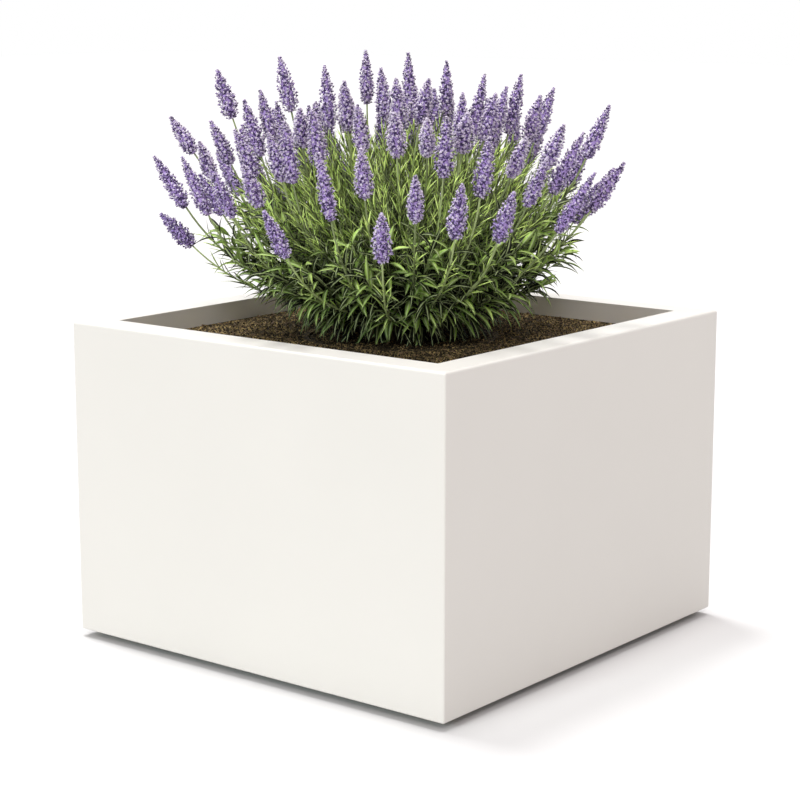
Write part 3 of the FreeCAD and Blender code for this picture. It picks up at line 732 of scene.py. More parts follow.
@dataclass(frozen=True)
class Moulded(Finish):
    """A plain moulded plastic or rubber with soft clouds and a fine skin.

    Attributes:
        clouds: How strong the clouds are.
        peel: The size of the skin's unevenness, in bumps to the metre.
        depth: Its depth, in metres.
        scuffs: How much of it is rubbed dull.
    """

    clouds: float = 0.48
    peel: float = 900.0
    depth: float = 0.00006
    scuffs: float = 0.15

    def dress(self, graph: Graph, shader: bpy.types.Node) -> None:
        """Clouded colour, dull marks and a fine skin."""
        place = graph.place()
        inputs = {
            "Colour": self.colour, "Cloud Scale": 40.0, "Cloud Strength": self.clouds,
            "Peel Scale": self.peel,
        }
        skin = Effect.MOTTLE.use(graph, {"Vector": place} | inputs)
        marks = Effect.SCUFF.use(graph, {"Vector": place, "Amount": self.scuffs})
        dull = graph.math("ADD", marks["Mask"], self.roughness)
        graph.cover(shader, skin["Colour"], dull, skin["Height"], self.depth)


@dataclass(frozen=True)
class Gelcoat(Finish):
    """The shell's satin coat outside, and bare laminate inside where no one looks.

    Attributes:
        laminate: The colour of the bare laminate.
        strand: The colour of the glass strands in it.
        inside: How far from the middle the inner faces of the walls reach, in metres.
        lip: How far from the middle the lip reaches, in metres.
        under_rim: The height of the underside of the rim, in metres.
    """

    laminate: Colour = (0.52, 0.49, 0.33)
    strand: Colour = (0.72, 0.70, 0.56)
    inside: float = 0.2962
    lip: float = 0.2605
    under_rim: float = 0.4165

    def dress(self, graph: Graph, shader: bpy.types.Node) -> None:
        """A faintly uneven coat, with fibres on the hidden faces."""
        place = graph.place()
        inputs = {"Colour": self.colour, "Cloud Scale": 5.0, "Cloud Strength": 0.05, "Peel Scale": 260.0}
        coat = Effect.MOTTLE.use(graph, {"Vector": place} | inputs)
        inputs = {"Dark": self.laminate, "Light": self.strand, "Thread Scale": 700.0}
        bare = Effect.FIBRES.use(graph, {"Vector": place} | inputs)
        axes = graph.node("SeparateXYZ", {0: place}).outputs
        reach = graph.math("MAXIMUM", graph.math("ABSOLUTE", axes[0]), graph.math("ABSOLUTE", axes[1]))
        hidden = graph.math("LESS_THAN", reach, self.inside)
        hidden = graph.math("MULTIPLY", hidden, graph.math("GREATER_THAN", reach, self.lip))
        hidden = graph.math("MULTIPLY", hidden, graph.math("LESS_THAN", axes[2], self.under_rim))
        colour = graph.blend(hidden, coat["Colour"], bare["Colour"])
        dull = graph.span(coat["Cloud"], 0.3, 0.7, self.roughness - 0.03, self.roughness + 0.03)
        dull = graph.math("ADD", dull, graph.math("MULTIPLY", hidden, 0.25))
        peel = graph.math("MULTIPLY", coat["Height"], 0.06)
        height = graph.node("Mix", {0: hidden, 2: peel, 3: bare["Height"]}).outputs[0]
        graph.cover(shader, colour, dull, height, 0.0006)


@dataclass(frozen=True)
class Fibrous(Finish):
    """Threads or grain in two colours: laminate, timber, fleece, coir, roots and bark.

    Attributes:
        second: The lighter colour.
        threads: How fine the threads are, in threads to the metre.
        stretch: How the coordinates are stretched, so that the threads lie along one axis.
        depth: Their depth, in metres.
        sheen: How much the loose fibres shine at the edges.
    """

    second: Colour = (0.6, 0.5, 0.3)
    threads: float = 500.0
    stretch: Triple = (1.0, 1.0, 1.0)
    depth: float = 0.0003
    sheen: float = 0.0

    def dress(self, graph: Graph, shader: bpy.types.Node) -> None:
        """Threads of two colours, raised a little."""
        inputs = {"Dark": self.colour, "Light": self.second, "Thread Scale": self.threads}
        threads = Effect.FIBRES.use(graph, {"Vector": graph.stretch(graph.place(), self.stretch)} | inputs)
        dull = graph.span(threads["Height"], 0.3, 0.7, self.roughness, self.roughness - 0.1)
        graph.cover(shader, threads["Colour"], dull, threads["Height"], self.depth)
        shader.inputs["Sheen Weight"].default_value = self.sheen


@dataclass(frozen=True)
class Plated(Finish):
    """A turned metal part: zinc plate or brass.

    Attributes:
        tarnish: The colour where it is dulled.
    """

    tarnish: Colour = (0.3, 0.3, 0.3)

    def dress(self, graph: Graph, shader: bpy.types.Node) -> None:
        """Turning marks round the axis and dull patches."""
        place = graph.place()
        rings = graph.noise(graph.stretch(place, (60.0, 60.0, 3000.0)), 1.0, 2)
        inputs = {"Colour": self.colour, "Cloud Scale": 150.0, "Peel Scale": 2000.0}
        skin = Effect.MOTTLE.use(graph, {"Vector": place} | inputs)
        marks = Effect.SCUFF.use(graph, {"Vector": place, "Mark Scale": 300.0, "Amount": 0.4})
        colour = graph.blend(graph.span(skin["Cloud"], 0.45, 0.7), skin["Colour"], self.tarnish)
        dull = graph.span(rings, 0.3, 0.7, self.roughness, self.roughness + 0.15)
        graph.cover(shader, colour, graph.math("ADD", dull, marks["Mask"]), rings, 0.00004)
        shader.inputs["Metallic"].default_value = 1.0


@dataclass(frozen=True)
class Granular(Finish):
    """Loose grains with painted shade in the gaps between them: soil, root soil and fired clay.

    Attributes:
        second: The colour of the lighter grains.
        grains: How fine they are, in grains to the metre.
        light_share: How many of them are light.
        depth: How deep the gaps between them are, in metres.
    """

    second: Colour = (0.1, 0.06, 0.04)
    grains: float = 480.0
    light_share: float = 0.3
    depth: float = 0.0009

    def dress(self, graph: Graph, shader: bpy.types.Node) -> None:
        """Grains of two colours, raised, each copy a little lighter or darker."""
        place = graph.place()
        inputs = {
            "Dark": self.colour, "Light": self.second, "Grain Scale": self.grains,
            "Light Share": self.light_share,
        }
        grains = Effect.GRAINS.use(graph, {"Vector": place} | inputs)
        fine = graph.noise(place, self.grains * 5, 3)
        colour = graph.scaled(grains["Colour"], graph.span(graph.mark("tint"), -1.0, 1.0, 0.6, 1.5))
        dull = graph.span(fine, 0.3, 0.7, self.roughness - 0.08, self.roughness)
        height = graph.math("ADD", grains["Height"], graph.math("MULTIPLY", fine, 0.35))
        graph.cover(shader, colour, dull, height, self.depth)
        shader.inputs["Specular IOR Level"].default_value = 0.25


@dataclass(frozen=True)
class LeafGreen(Finish):
    """A leaf: dark low on the plant, yellower high up, with a pale midrib, painted shade at its foot and on
    the inner leaves, and one half painted lighter than the other.

    Attributes:
        young: The colour of the upper leaves.
        rib: The colour of the midrib.
    """

    young: Colour = (0.56, 0.70, 0.20)
    rib: Colour = (0.60, 0.72, 0.36)

    def dress(self, graph: Graph, shader: bpy.types.Node) -> None:
        """Colour by height and by leaf, with painted shade along the leaf towards its foot and painted light
        and shade on the two halves across it.
        """
        side = graph.mark("across")
        across = graph.math("ABSOLUTE", side)
        green = graph.blend(graph.mark("young"), self.colour, self.young)
        # Each leaf's tone: random, with painted shade on the inner leaves. Then painted shade towards the
        # leaf's foot, and one half of the fold painted lighter and the other darker.
        copy = graph.span(graph.mark("tint"), -0.15, 0.25, 0.05, 2.1)
        copy = graph.math("MULTIPLY", copy, graph.span(graph.mark("along"), 0.0, 0.4, 0.3, 1.0))
        copy = graph.math("MULTIPLY", copy, graph.span(side, -0.25, 0.25, 0.45, 1.3))
        green = graph.scaled(green, copy)
        veins = graph.noise(graph.place(), 420.0, 3)
        green = graph.tint(graph.span(veins, 0.35, 0.65, 0.0, 0.45), green, (0.55, 0.62, 0.5))
        colour = graph.blend(graph.span(across, 0.08, 0.34, 0.8, 0.0), green, self.rib)
        dull = graph.span(veins, 0.3, 0.7, self.roughness, self.roughness + 0.12)
        height = graph.math("ADD", veins, graph.math("MULTIPLY", across, 0.6))
        graph.cover(shader, colour, dull, height, 0.0002)
        shader.inputs["Specular IOR Level"].default_value = 0.22


@dataclass(frozen=True)
class StemGreen(Finish):
    """A green stem that is brown and woody at its foot.

    Attributes:
        woody: The colour at its foot.
    """

    woody: Colour = (0.16, 0.12, 0.06)

    def dress(self, graph: Graph, shader: bpy.types.Node) -> None:
        """Colour along the stem, with fine ridges."""
        ridges = graph.noise(graph.stretch(graph.place(), (1.0, 1.0, 0.15)), 1500.0, 3)
        green = graph.blend(graph.span(graph.mark("along"), 0.05, 0.4), self.woody, self.colour)
        green = graph.scaled(green, graph.span(graph.mark("tint"), -1.0, 1.0, 0.7, 1.25))
        colour = graph.tint(graph.span(ridges, 0.35, 0.65, 0.0, 0.4), green, (0.6, 0.65, 0.5))
        dull = graph.span(ridges, 0.3, 0.7, self.roughness, self.roughness + 0.1)
        graph.cover(shader, colour, dull, ridges, 0.0002)


@dataclass(frozen=True)
class FlowerLilac(Finish):
    """Lavender florets: lilac lobes among pale ones and dark flecks, paler on the high spikes.

    Attributes:
        low_flowers: The height above which the petals are paler, in metres.
        high_flowers: The height at which they are palest.
        high_spike_colour: Their colour there, paler.
        cup: The colour of the cups that aren't dark.
        shade: The colour of the dark flecks and the dark cups.
        pale: The colour of the palest lobes.
    """

    low_flowers: float = 0.55
    high_flowers: float = 0.66
    high_spike_colour: Colour = (0.93, 0.80, 1.0)
    cup: Colour = (0.50, 0.35, 0.76)
    shade: Colour = (0.055, 0.030, 0.125)
    pale: Colour = (0.97, 0.90, 1.00)

    def dress(self, graph: Graph, shader: bpy.types.Node) -> None:
        """Colour from cup to lobe, by floret and by height."""
        place = graph.place()
        pick, _ = graph.cells(place, 480.0)
        height = graph.node("SeparateXYZ", {0: place}).outputs[2]
        level = graph.math("MULTIPLY", graph.mark("tint"), 0.5)
        level = graph.math("ADD", level, graph.span(pick, 0.0, 1.0, -0.9, 0.9))
        low, high = self.low_flowers, self.high_flowers
        # Higher up the level rises, so the petals are paler and have fewer dark flecks there.
        level = graph.math("ADD", level, graph.span(height, low - 0.06, high, -0.14, 0.42))
        petal = graph.blend(graph.span(height, low, high), self.colour, self.high_spike_colour)
        petal = graph.blend(graph.span(level, 0.1, 0.4), petal, self.pale)
        petal = graph.blend(graph.span(level, -0.36, -0.20, 1.0, 0.0), petal, self.shade)
        streak = graph.noise(place, 900.0, 2)
        petal = graph.tint(graph.span(streak, 0.4, 0.65, 0.0, 0.3), petal, (0.8, 0.72, 0.9))
        cup = graph.blend(graph.span(pick, 0.4, 0.55), self.shade, self.cup)
        colour = graph.blend(graph.span(graph.mark("lobe"), 0.0, 0.35), cup, petal)
        dull = graph.span(streak, 0.3, 0.7, self.roughness, self.roughness + 0.1)
        graph.cover(shader, colour, dull, streak, 0.0002)
        shader.inputs["Sheen Weight"].default_value = 0.25


GELCOAT = Gelcoat("shell_gelcoat", (0.905, 0.882, 0.830), 0.42)
LAMINATE = Fibrous("raw_laminate", (0.42, 0.39, 0.24), 0.6, (0.66, 0.64, 0.50), 700.0)
TIMBER = Fibrous("core_wood", (0.36, 0.22, 0.10), 0.72, (0.62, 0.45, 0.26), 300.0, (0.08, 1.0, 1.0))
ZINC = Plated("zinc_steel", (0.60, 0.61, 0.64), 0.32, (0.42, 0.42, 0.42))
BRASS = Plated("insert_brass", (0.78, 0.57, 0.26), 0.30, (0.48, 0.33, 0.15))
FOOT_PLASTIC = Moulded("foot_plastic", (0.035, 0.035, 0.038), 0.48)
DRAIN_PLASTIC = Moulded("drain_plastic", (0.075, 0.078, 0.085), 0.42)
SEAL_RUBBER = Moulded("seal_rubber", (0.022, 0.022, 0.022), 0.7, peel=1500.0, scuffs=0.1)
FIRED_CLAY = Granular("clay_granules", (0.30, 0.13, 0.07), 0.85, (0.52, 0.28, 0.17), 500.0, 0.5, 0.0006)
FLEECE = Fibrous("fleece", (0.50, 0.50, 0.48), 0.92, (0.80, 0.80, 0.78), 900.0, depth=0.0004, sheen=0.4)
SOIL = Granular("potting_soil", (0.042, 0.029, 0.013), 0.93, (0.58, 0.42, 0.18), light_share=0.42)
ROOT_SOIL = Granular("root_soil", (0.040, 0.028, 0.013), 0.93, (0.50, 0.36, 0.16), light_share=0.40)
COIR = Fibrous("coir", (0.075, 0.045, 0.022), 0.85, (0.26, 0.17, 0.085), 1500.0)
ROOT = Fibrous("root", (0.34, 0.26, 0.16), 0.8, (0.62, 0.53, 0.38), 1200.0, (1.0, 1.0, 0.2))
BARK = Fibrous("woody_stem", (0.085, 0.058, 0.034), 0.88, (0.25, 0.19, 0.12), 700.0, (1.0, 1.0, 0.25), 0.0008)
LEAF = LeafGreen("leaf_green", (0.104, 0.204, 0.038), 0.44)
STEM = StemGreen("stem_green", (0.40, 0.49, 0.22), 0.55)
LILAC = FlowerLilac("flower_lilac", (0.58, 0.43, 0.94), 0.6)


# The layers in the planter


def add_copies(
    sheaf: Sheaf, patterns: list[Pattern], foot: Array, heading: Array, size: Array, strand: float
) -> None:
    """Place copies of several patterns, one pattern after the other.

    Args:
        sheaf: What gathers them.
        patterns: The patterns.
        foot: Where the copies go, (n, 3).
        heading: Where their Z goes, (n, 3), of length one.
        size: Their sizes, (n, 3).
        strand: Which numbers turn and tint them.
    """
    number = np.arange(len(foot))
    for index, pattern in enumerate(patterns):
        some = number % len(patterns) == index
        turn = math.pi * sway(number[some], strand)
        placed = pattern.place(foot[some], heading[some], turn, size[some])
        sheaf.add(placed, pattern.faces, {"tint": sway(number[some], strand + 0.5)[:, None]})


def add_crumbs(sheaf: Sheaf, shapes: tuple[float, ...], foot: Array, radius: Array, strand: float) -> None:
    """Place loose crumbs, each flattened a little and lying its own way.

    Args:
        sheaf: What gathers them.
        shapes: The numbers that pick their shapes.
        foot: Where they go, (n, 3).
        radius: Their radii, (n,).
        strand: Which numbers turn and tint them.
    """
    number = numbered(len(foot))
    heading = unit(columns(sway(number, 4), sway(number, 5), 1.2 + sway(number, 6)))
    size = radius[:, None] * columns(1.15 + 0.3 * sway(number, 7), 1.0, 0.75 + 0.2 * sway(number, 8))
    add_copies(sheaf, [crumb_pattern(shape) for shape in shapes], foot, heading, size, strand)


@dataclass
class Layers:
    """What lies under the soil: the clay granules and the fleece on them.

    Attributes:
        half: Half the space between the walls, in metres.
        bottom: The height of the floor.
        granule: Half the thickness of a granule.
        step: The distance between granules.
        row_share: The distance between rows of them, as a share of that.
        courses: How high the middle of each course of granules lies above the floor.
        wander: How far a granule lies off its row.
        drain_reach: How far each drain is from the middle.
        drain_radius: The radius that stays free round a drain's flange.
        drain_height: How high above the floor it stays free.
        fleece_bottom: The height of the fleece's underside.
        fleece_thickness: How thick it is where nothing presses it.
        fleece_cells: How many cells the fleece has along a side.
    """

    half: float = 0.296
    bottom: float = 0.051
    granule: float = 0.0056
    step: float = 0.0130
    row_share: float = 0.866
    courses: tuple[float, ...] = (0.0058, 0.0150, 0.0242)
    wander: float = 0.0016
    drain_reach: float = 0.130
    drain_radius: float = 0.0251
    drain_height: float = 0.012
    fleece_bottom: float = 0.081
    fleece_thickness: float = 0.0012
    fleece_cells: int = 96

    def build(self) -> None:
        """Build both layers."""
        self.build_granules()
        self.build_fleece()

    def build_granules(self) -> None:
        """Three courses of fired clay granules, each in the hollows of the one below."""
        clays = [crumb_pattern(shape) for shape in (0.0, 1.3, 2.9)]
        for clay in clays:
            clay.points = unit(clay.points) * (0.8 + 0.2 * np.linalg.norm(clay.points, axis=1, keepdims=True))
        row_step = self.step * self.row_share
        rows, per_row = int(2 * self.half / row_step), int(2 * self.half / self.step)
        places = []
        for course, height in enumerate(self.courses):
            row, column = np.meshgrid(np.arange(rows), np.arange(per_row), indexing="ij")
            number = (row * per_row + column + 7919 * course).ravel().astype(float)
            x = (column + 0.5 * ((row + course) % 2) + 0.25).ravel() * self.step - self.half + 0.0025
            y = (row + 0.5 + course / 3).ravel() * row_step - self.half
            x, y = x + self.wander * sway(number, 1), y + self.wander * sway(number, 2)
            places.append(columns(x, y, self.bottom + height))
        spots = np.concatenate(places)
        number = numbered(len(spots))
        radius = self.granule * (0.98 + 0.16 * sway(number, 3))
        kept = np.abs(spots[:, :2]).max(axis=1) < self.half - radius * 1.12
        for side in (-1, 1):
            away = np.hypot(spots[:, 0] - side * self.drain_reach, spots[:, 1])
            is_beside = away > self.drain_radius + radius * 1.1
            kept &= is_beside | (spots[:, 2] > self.bottom + self.drain_height)
        spots, radius, number = spots[kept], radius[kept], number[kept]
        spots[:, 2] = np.clip(spots[:, 2], self.bottom + radius, self.fleece_bottom - 0.0004 - radius)
        heading = unit(columns(sway(number, 4), sway(number, 5), sway(number, 6) + 0.2))
        size = radius[:, None] * columns(0.92, 0.92 + 0.08 * sway(number, 7), 1.0)
        sheaf = Sheaf("clay_granule_layer")
        add_copies(sheaf, clays, spots, heading, size, 8)
        granules = sheaf.make(FIRED_CLAY.material())
        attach(granules, Body.PLANTER)
        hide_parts("drainage_granules")
        log.info("%s: %d granules", granules.name, len(spots))

    def build_fleece(self) -> None:
        """The fleece, which lies a little unevenly on the granules."""
        bpy.ops.mesh.primitive_grid_add(
            x_subdivisions=self.fleece_cells, y_subdivisions=self.fleece_cells, size=2 * self.half - 0.0006,
            location=(0, 0, self.fleece_bottom + 0.0001),
        )
        fleece = modelled("filter_fleece_sheet")
        for vertex in fleece.data.vertices:
            vertex.co.z += 0.00035 * (1 + noise.noise(vertex.co * 70)) * 0.9
        solid = fleece.modifiers.new("Thickness", "SOLIDIFY")
        solid.thickness = self.fleece_thickness
        solid.offset = 1
        bpy.ops.object.modifier_apply(modifier=solid.name)
        bpy.ops.object.shade_smooth_by_angle(angle=math.radians(40))
        fleece.data.materials.append(FLEECE.material())
        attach(fleece, Body.PLANTER)
        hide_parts("filter_fleece")
        log.info("%s", fleece.name)


@dataclass
class Soil:
    """The potting soil: a body that fills the shell, and the loose crumbs on its top.

    Attributes:
        half: Half the space between the walls, in metres.
        bottom: The height of its underside.
        ledge: The height of the lip's lower edge, up to which it reaches the walls.
        mouth: Half the opening of the lip.
        edge_gap: How far the crumbs stay from the lip.
        pocket: The radius of the pocket for the root ball at the top.
        pocket_foot: Its radius at the bottom.
        pocket_bottom: The height of its bottom.
        around: How many vertices go round.
        rings: How many rings of them lie on the top.
        crumbs: How many loose crumbs lie on the top.
        crumb_radius: The radius of the smallest, and how much larger the largest are.
        splinters: How many bits of bark and fibre lie among them.
        splinter_length: The length of the shortest, and how much longer the longest are.
        splinter_width: The width of the thinnest, and how much wider the widest are.
        clear: How far from the middle crumbs and splinters begin.
        lumps: How many lumps the top has to the metre, and their height.
        clods: The same of its clods.
        grains: The same of its grains.
        sunk: How far the rough top lies below the plain one.
    """

    half: float = 0.2959
    bottom: float = 0.0832
    ledge: float = 0.3738
    mouth: float = 0.2578
    edge_gap: float = 0.003
    pocket: float = 0.1206
    pocket_foot: float = 0.0986
    pocket_bottom: float = 0.1925
    around: int = 720
    rings: int = 84
    crumbs: int = 9200
    crumb_radius: tuple[float, float] = (0.0008, 0.0010)
    splinters: int = 1100
    splinter_length: tuple[float, float] = (0.0035, 0.0075)
    splinter_width: tuple[float, float] = (0.0004, 0.0006)
    clear: tuple[float, float] = (0.128, 0.126)
    lumps: tuple[float, float] = (28, 0.0020)
    clods: tuple[float, float] = (95, 0.0012)
    grains: tuple[float, float] = (260, 0.0018)
    sunk: float = 0.0012

    def build(self) -> None:
        """Build the fill and what lies loose on it."""
        self.build_fill()
        self.build_crumbs()
        self.build_splinters()

    def outline(self) -> list[Triple]:
        """The section of the fill, from its underside round to the floor of the pocket.

        Returns:
            The radius or half width, the height and how round the ring is, point by point.
        """
        wall, lip, rise = self.ledge - self.bottom, self.half - self.mouth, SOIL_TOP - self.ledge
        points = [(self.half * share, self.bottom, 0.0) for share in (0.0, 0.5, 0.97, 1.0)]
        points += [(self.half, self.bottom + wall * share, 0.0) for share in (0.02, 0.5, 0.98, 1.0)]
        points += [(self.mouth + lip * share, self.ledge, 0.0) for share in (0.9, 0.1, 0.0)]
        points += [(self.mouth, self.ledge + rise * share, 0.0) for share in (0.2, 0.6, 0.9)]
        for share in (ring / (self.rings - 1) for ring in range(self.rings)):
            points.append((self.mouth + (self.pocket - self.mouth) * share, SOIL_TOP, share))
        for share in (0.1, 0.5, 0.9, 1.0):
            radius = self.pocket + (self.pocket_foot - self.pocket) * share
            points.append((radius, SOIL_TOP + (self.pocket_bottom - SOIL_TOP) * share, 1.0))
        return points + [(self.pocket_foot * share, self.pocket_bottom, 1.0) for share in (0.95, 0.5, 0.0)]

    def build_fill(self) -> None:
        """A grid bent round the planter along the section, joined up, with its top made rough."""
        section = np.array(self.outline())
        steps = len(section) - 1
        bpy.ops.mesh.primitive_grid_add(x_subdivisions=self.around, y_subdivisions=steps, size=1)
        fill = modelled("potting_soil_fill")
        mesh = fill.data
        flat = np.empty(len(mesh.vertices) * 3)
        mesh.vertices.foreach_get("co", flat)
        flat = flat.reshape(-1, 3)
        turn = np.round((flat[:, 0] + 0.5) * self.around) / self.around * 8
        row = np.round((flat[:, 1] + 0.5) * steps).astype(int)
        reach, height, roundness = section[row].T
        along = turn % 2 - 1
        circle = columns(np.cos(np.pi / 4 * along), np.sin(np.pi / 4 * along))
        plan = columns(1.0, along) * (1 - roundness)[:, None] + circle * roundness[:, None]
        quarter = np.floor(turn / 2).astype(int) % 4 * np.pi / 2
        x = plan[:, 0] * np.cos(quarter) - plan[:, 1] * np.sin(quarter)
        y = plan[:, 0] * np.sin(quarter) + plan[:, 1] * np.cos(quarter)
        points = columns(x * reach, y * reach, height)
        is_top = (height > SOIL_TOP - 1e-6) & (roundness > 0)
        rough = np.zeros(len(points))
        rough[is_top] = [self.roughness_at(Vector(point)) for point in points[is_top]]
        points[:, 2] += rough * np.clip(12 * (1 - roundness), 0.2, 1)
        mesh.vertices.foreach_set("co", points.ravel())
        face_outwards(fill, join=1e-6)
        bpy.ops.object.shade_smooth_by_angle(angle=math.radians(60))
        mesh.materials.append(SOIL.material())
        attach(fill, Body.PLANTER)
        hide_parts("potting_soil")
        log.info("%s: %d vertices", fill.name, len(mesh.vertices))

    def roughness_at(self, place: Vector) -> float:
        """How far the top rises or falls at a place: lumps, clods and grains, in metres."""
        lumps = noise.noise(place * self.lumps[0]) * self.lumps[1]
        clods = noise.noise(place * self.clods[0] + Vector((7, 3, 1))) * self.clods[1]
        grains = abs(noise.noise(place * self.grains[0])) * self.grains[1]
        return lumps + clods + grains - self.sunk

    def scatter(self, count: int, strand: float, inner: float) -> Array:
        """Places on the top, outside the root ball.

        Args:
            count: How many are tried.
            strand: Which numbers place them.
            inner: The smallest distance from the middle.

        Returns:
            The places, (n, 3).
        """
        number = numbered(count)
        limit = self.mouth - self.edge_gap
        steps = ((0.7548776662, 0.137), (0.5698402910, 0.271))
        share = columns(*((number * step + first * strand) % 1 for step, first in steps))
        spots = (share * 2 - 1) * limit + 0.0025 * columns(sway(number, strand), sway(number, strand + 1))
        spots = spots[(np.hypot(*spots.T) > inner) & (np.abs(spots).max(axis=1) < limit)]
        lift = np.array([self.roughness_at(Vector((x, y, SOIL_TOP))) for x, y in spots])
        return np.column_stack([spots, SOIL_TOP + lift])

    def build_crumbs(self) -> None:
        """Loose crumbs of soil of several sizes, most of them small."""
        spots = self.scatter(self.crumbs, 1, self.clear[0])
        radius = self.crumb_radius[0] + self.crumb_radius[1] * np.abs(sway(numbered(len(spots)), 9)) ** 2.2
        spots[:, 2] += radius * 0.25
        sheaf = Sheaf("soil_crumbs")
        add_crumbs(sheaf, (0.4, 1.9, 3.1, 4.6), spots, radius, 11)
        piece = sheaf.make(SOIL.material(), smooth=False)
        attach(piece, Body.PLANTER)
        log.info("%s: %d crumbs", piece.name, len(spots))

    def build_splinters(self) -> None:
        """Bits of bark and coir that lie flat among the crumbs."""
        splinter = Pattern.take(make_rod(4, 2))
        splinter.points[:, 2] -= 0.5
        spots = self.scatter(self.splinters, 5, self.clear[1])
        number = numbered(len(spots))
        lying = unit(columns(sway(number, 14), sway(number, 15), 0.18 * sway(number, 16)))
        length = self.splinter_length[0] + self.splinter_length[1] * np.abs(sway(number, 17)) ** 2
        width = self.splinter_width[0] + self.splinter_width[1] * np.abs(sway(number, 18)) ** 2
        spots[:, 2] += 0.0011
        sheaf = Sheaf("soil_splinters")
        add_copies(sheaf, [splinter], spots, lying, columns(width * 1.6, width, length), 19)
        piece = sheaf.make(COIR.material())
        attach(piece, Body.PLANTER)
        log.info("%s: %d splinters", piece.name, len(spots))


# The plant


@dataclass
class RootBall:
    """The root ball as it comes out of its pot: soil held by a felt of roots.

    Attributes:
        bottom: The height of its underside, in metres.
        radius: Its radius at the top.
        foot_radius: Its radius at the bottom.
        sides: How many vertices go round.
        courses: How many rings of them are between its ends.
        spoke_cuts: How often the spokes of its ends are cut.
        roots: How many roots show on it.
        crumbs: How many crumbs lie on it.
        crumb_radius: The radius of the smallest, and how much larger the largest are.
        crumb_ring: Between which distances from the middle they lie.
    """

    bottom: float = 0.193
    radius: float = 0.1197
    foot_radius: float = 0.0977
    sides: int = 160
    courses: int = 70
    spoke_cuts: int = 24
    roots: int = 230
    crumbs: int = 1500
    crumb_radius: tuple[float, float] = (0.0008, 0.0015)
    crumb_ring: tuple[float, float] = (0.044, 0.115)

    def build(self) -> None:
        """Build the ball, its roots and the crumbs on it."""
        self.build_ball()
        self.build_roots()
        self.build_crumbs()

    def radius_at(self, height: Array) -> Array:
        """The ball's radius at a height."""
        share = (height - self.bottom) / (SOIL_TOP - self.bottom)
        return self.foot_radius + (self.radius - self.foot_radius) * share

    def build_ball(self) -> None:
        """A cone, cut into rings and made lumpy inwards."""
        centre = Vector((0, 0, (SOIL_TOP + self.bottom) / 2))
        bpy.ops.mesh.primitive_cone_add(
            vertices=self.sides, radius1=self.foot_radius, radius2=self.radius, depth=SOIL_TOP - self.bottom,
            location=centre, end_fill_type="TRIFAN",
        )
        ball = modelled("root_ball_soil")

        def is_spoke(*ends: Vector) -> bool:
            """Whether an edge runs from the middle outwards."""
            near, far = sorted(end.xy.length for end in ends)
            return near < 1e-4 and far > 0.05

        cut_edges(ball, lambda low, high: abs(high.z - low.z) > 0.01, self.courses)
        cut_edges(ball, is_spoke, self.spoke_cuts)
        for vertex in ball.data.vertices:
            lump = abs(noise.noise(vertex.co * 45)) * 0.0035 + abs(noise.noise(vertex.co * 170)) * 0.0018
            vertex.co += (centre - vertex.co).normalized() * lump * min(vertex.co.xy.length / 0.02, 1.0)
        bpy.ops.object.shade_smooth_by_angle(angle=math.radians(60))
        ball.data.materials.append(ROOT_SOIL.material())
        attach(ball, Body.PLANT)
        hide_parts("root_ball")
        log.info("%s: %d vertices", ball.name, len(ball.data.vertices))

    def build_roots(self) -> None:
        """Pale roots that wander round the ball, half sunk in it."""
        rod = Pattern.take(make_rod(5, 22))
        wide, deep, share = rod.points.T[:, None]
        number = numbered(self.roots)
        own = [sway(number, strand)[:, None] for strand in range(9)]
        start = self.bottom + 0.008 + (SOIL_TOP - self.bottom) * 0.92 * ((number * 0.618034) % 1)[:, None]
        height = start + (0.03 + 0.05 * own[3]) * (share - 0.5) * 2 * np.sign(own[8])
        height = np.clip(height, self.bottom + 0.004, SOIL_TOP - 0.004)
        height = height + 0.004 * np.sin(9 * share + 5 * own[4])
        height = np.clip(height, self.bottom + 0.003, SOIL_TOP - 0.003)
        angle = number[:, None] * GOLDEN_ANGLE + (0.35 + 0.3 * own[1]) * share
        angle = angle + 0.09 * np.sin(7 * share + 6 * own[2])
        girth = (0.0007 + 0.0005 * own[5]) * (1 - 0.6 * share)
        reach = self.radius_at(height) - 0.0016 + wide * girth
        sheaf = Sheaf("surface_roots")
        placed = np.stack([reach * np.cos(angle), reach * np.sin(angle), height + deep * girth], axis=2)
        sheaf.add(placed, rod.faces, {"tint": own[6]})
        roots = sheaf.make(ROOT.material())
        face_outwards(roots)
        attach(roots, Body.PLANT)
        log.info("%s: %d roots", roots.name, self.roots)

    def build_crumbs(self) -> None:
        """Loose crumbs on top of the ball, under the leaves."""
        number = numbered(self.crumbs)
        inner, outer = self.crumb_ring
        reach = inner + (outer - inner) * np.sqrt((number + 0.5) / self.crumbs)
        radius = self.crumb_radius[0] + self.crumb_radius[1] * np.abs(sway(number, 9)) ** 2
        height = SOIL_TOP - 0.0012 + radius * 0.2
        spots = outward_at(number * GOLDEN_ANGLE) * reach[:, None] + UP * height[:, None]
        sheaf = Sheaf("root_ball_crumbs")
        add_crumbs(sheaf, (0.7, 2.2, 3.7), spots, radius, 12)
        piece = sheaf.make(ROOT_SOIL.material(), smooth=False)
        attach(piece, Body.PLANT)
        log.info("%s: %d crumbs", piece.name, len(number))


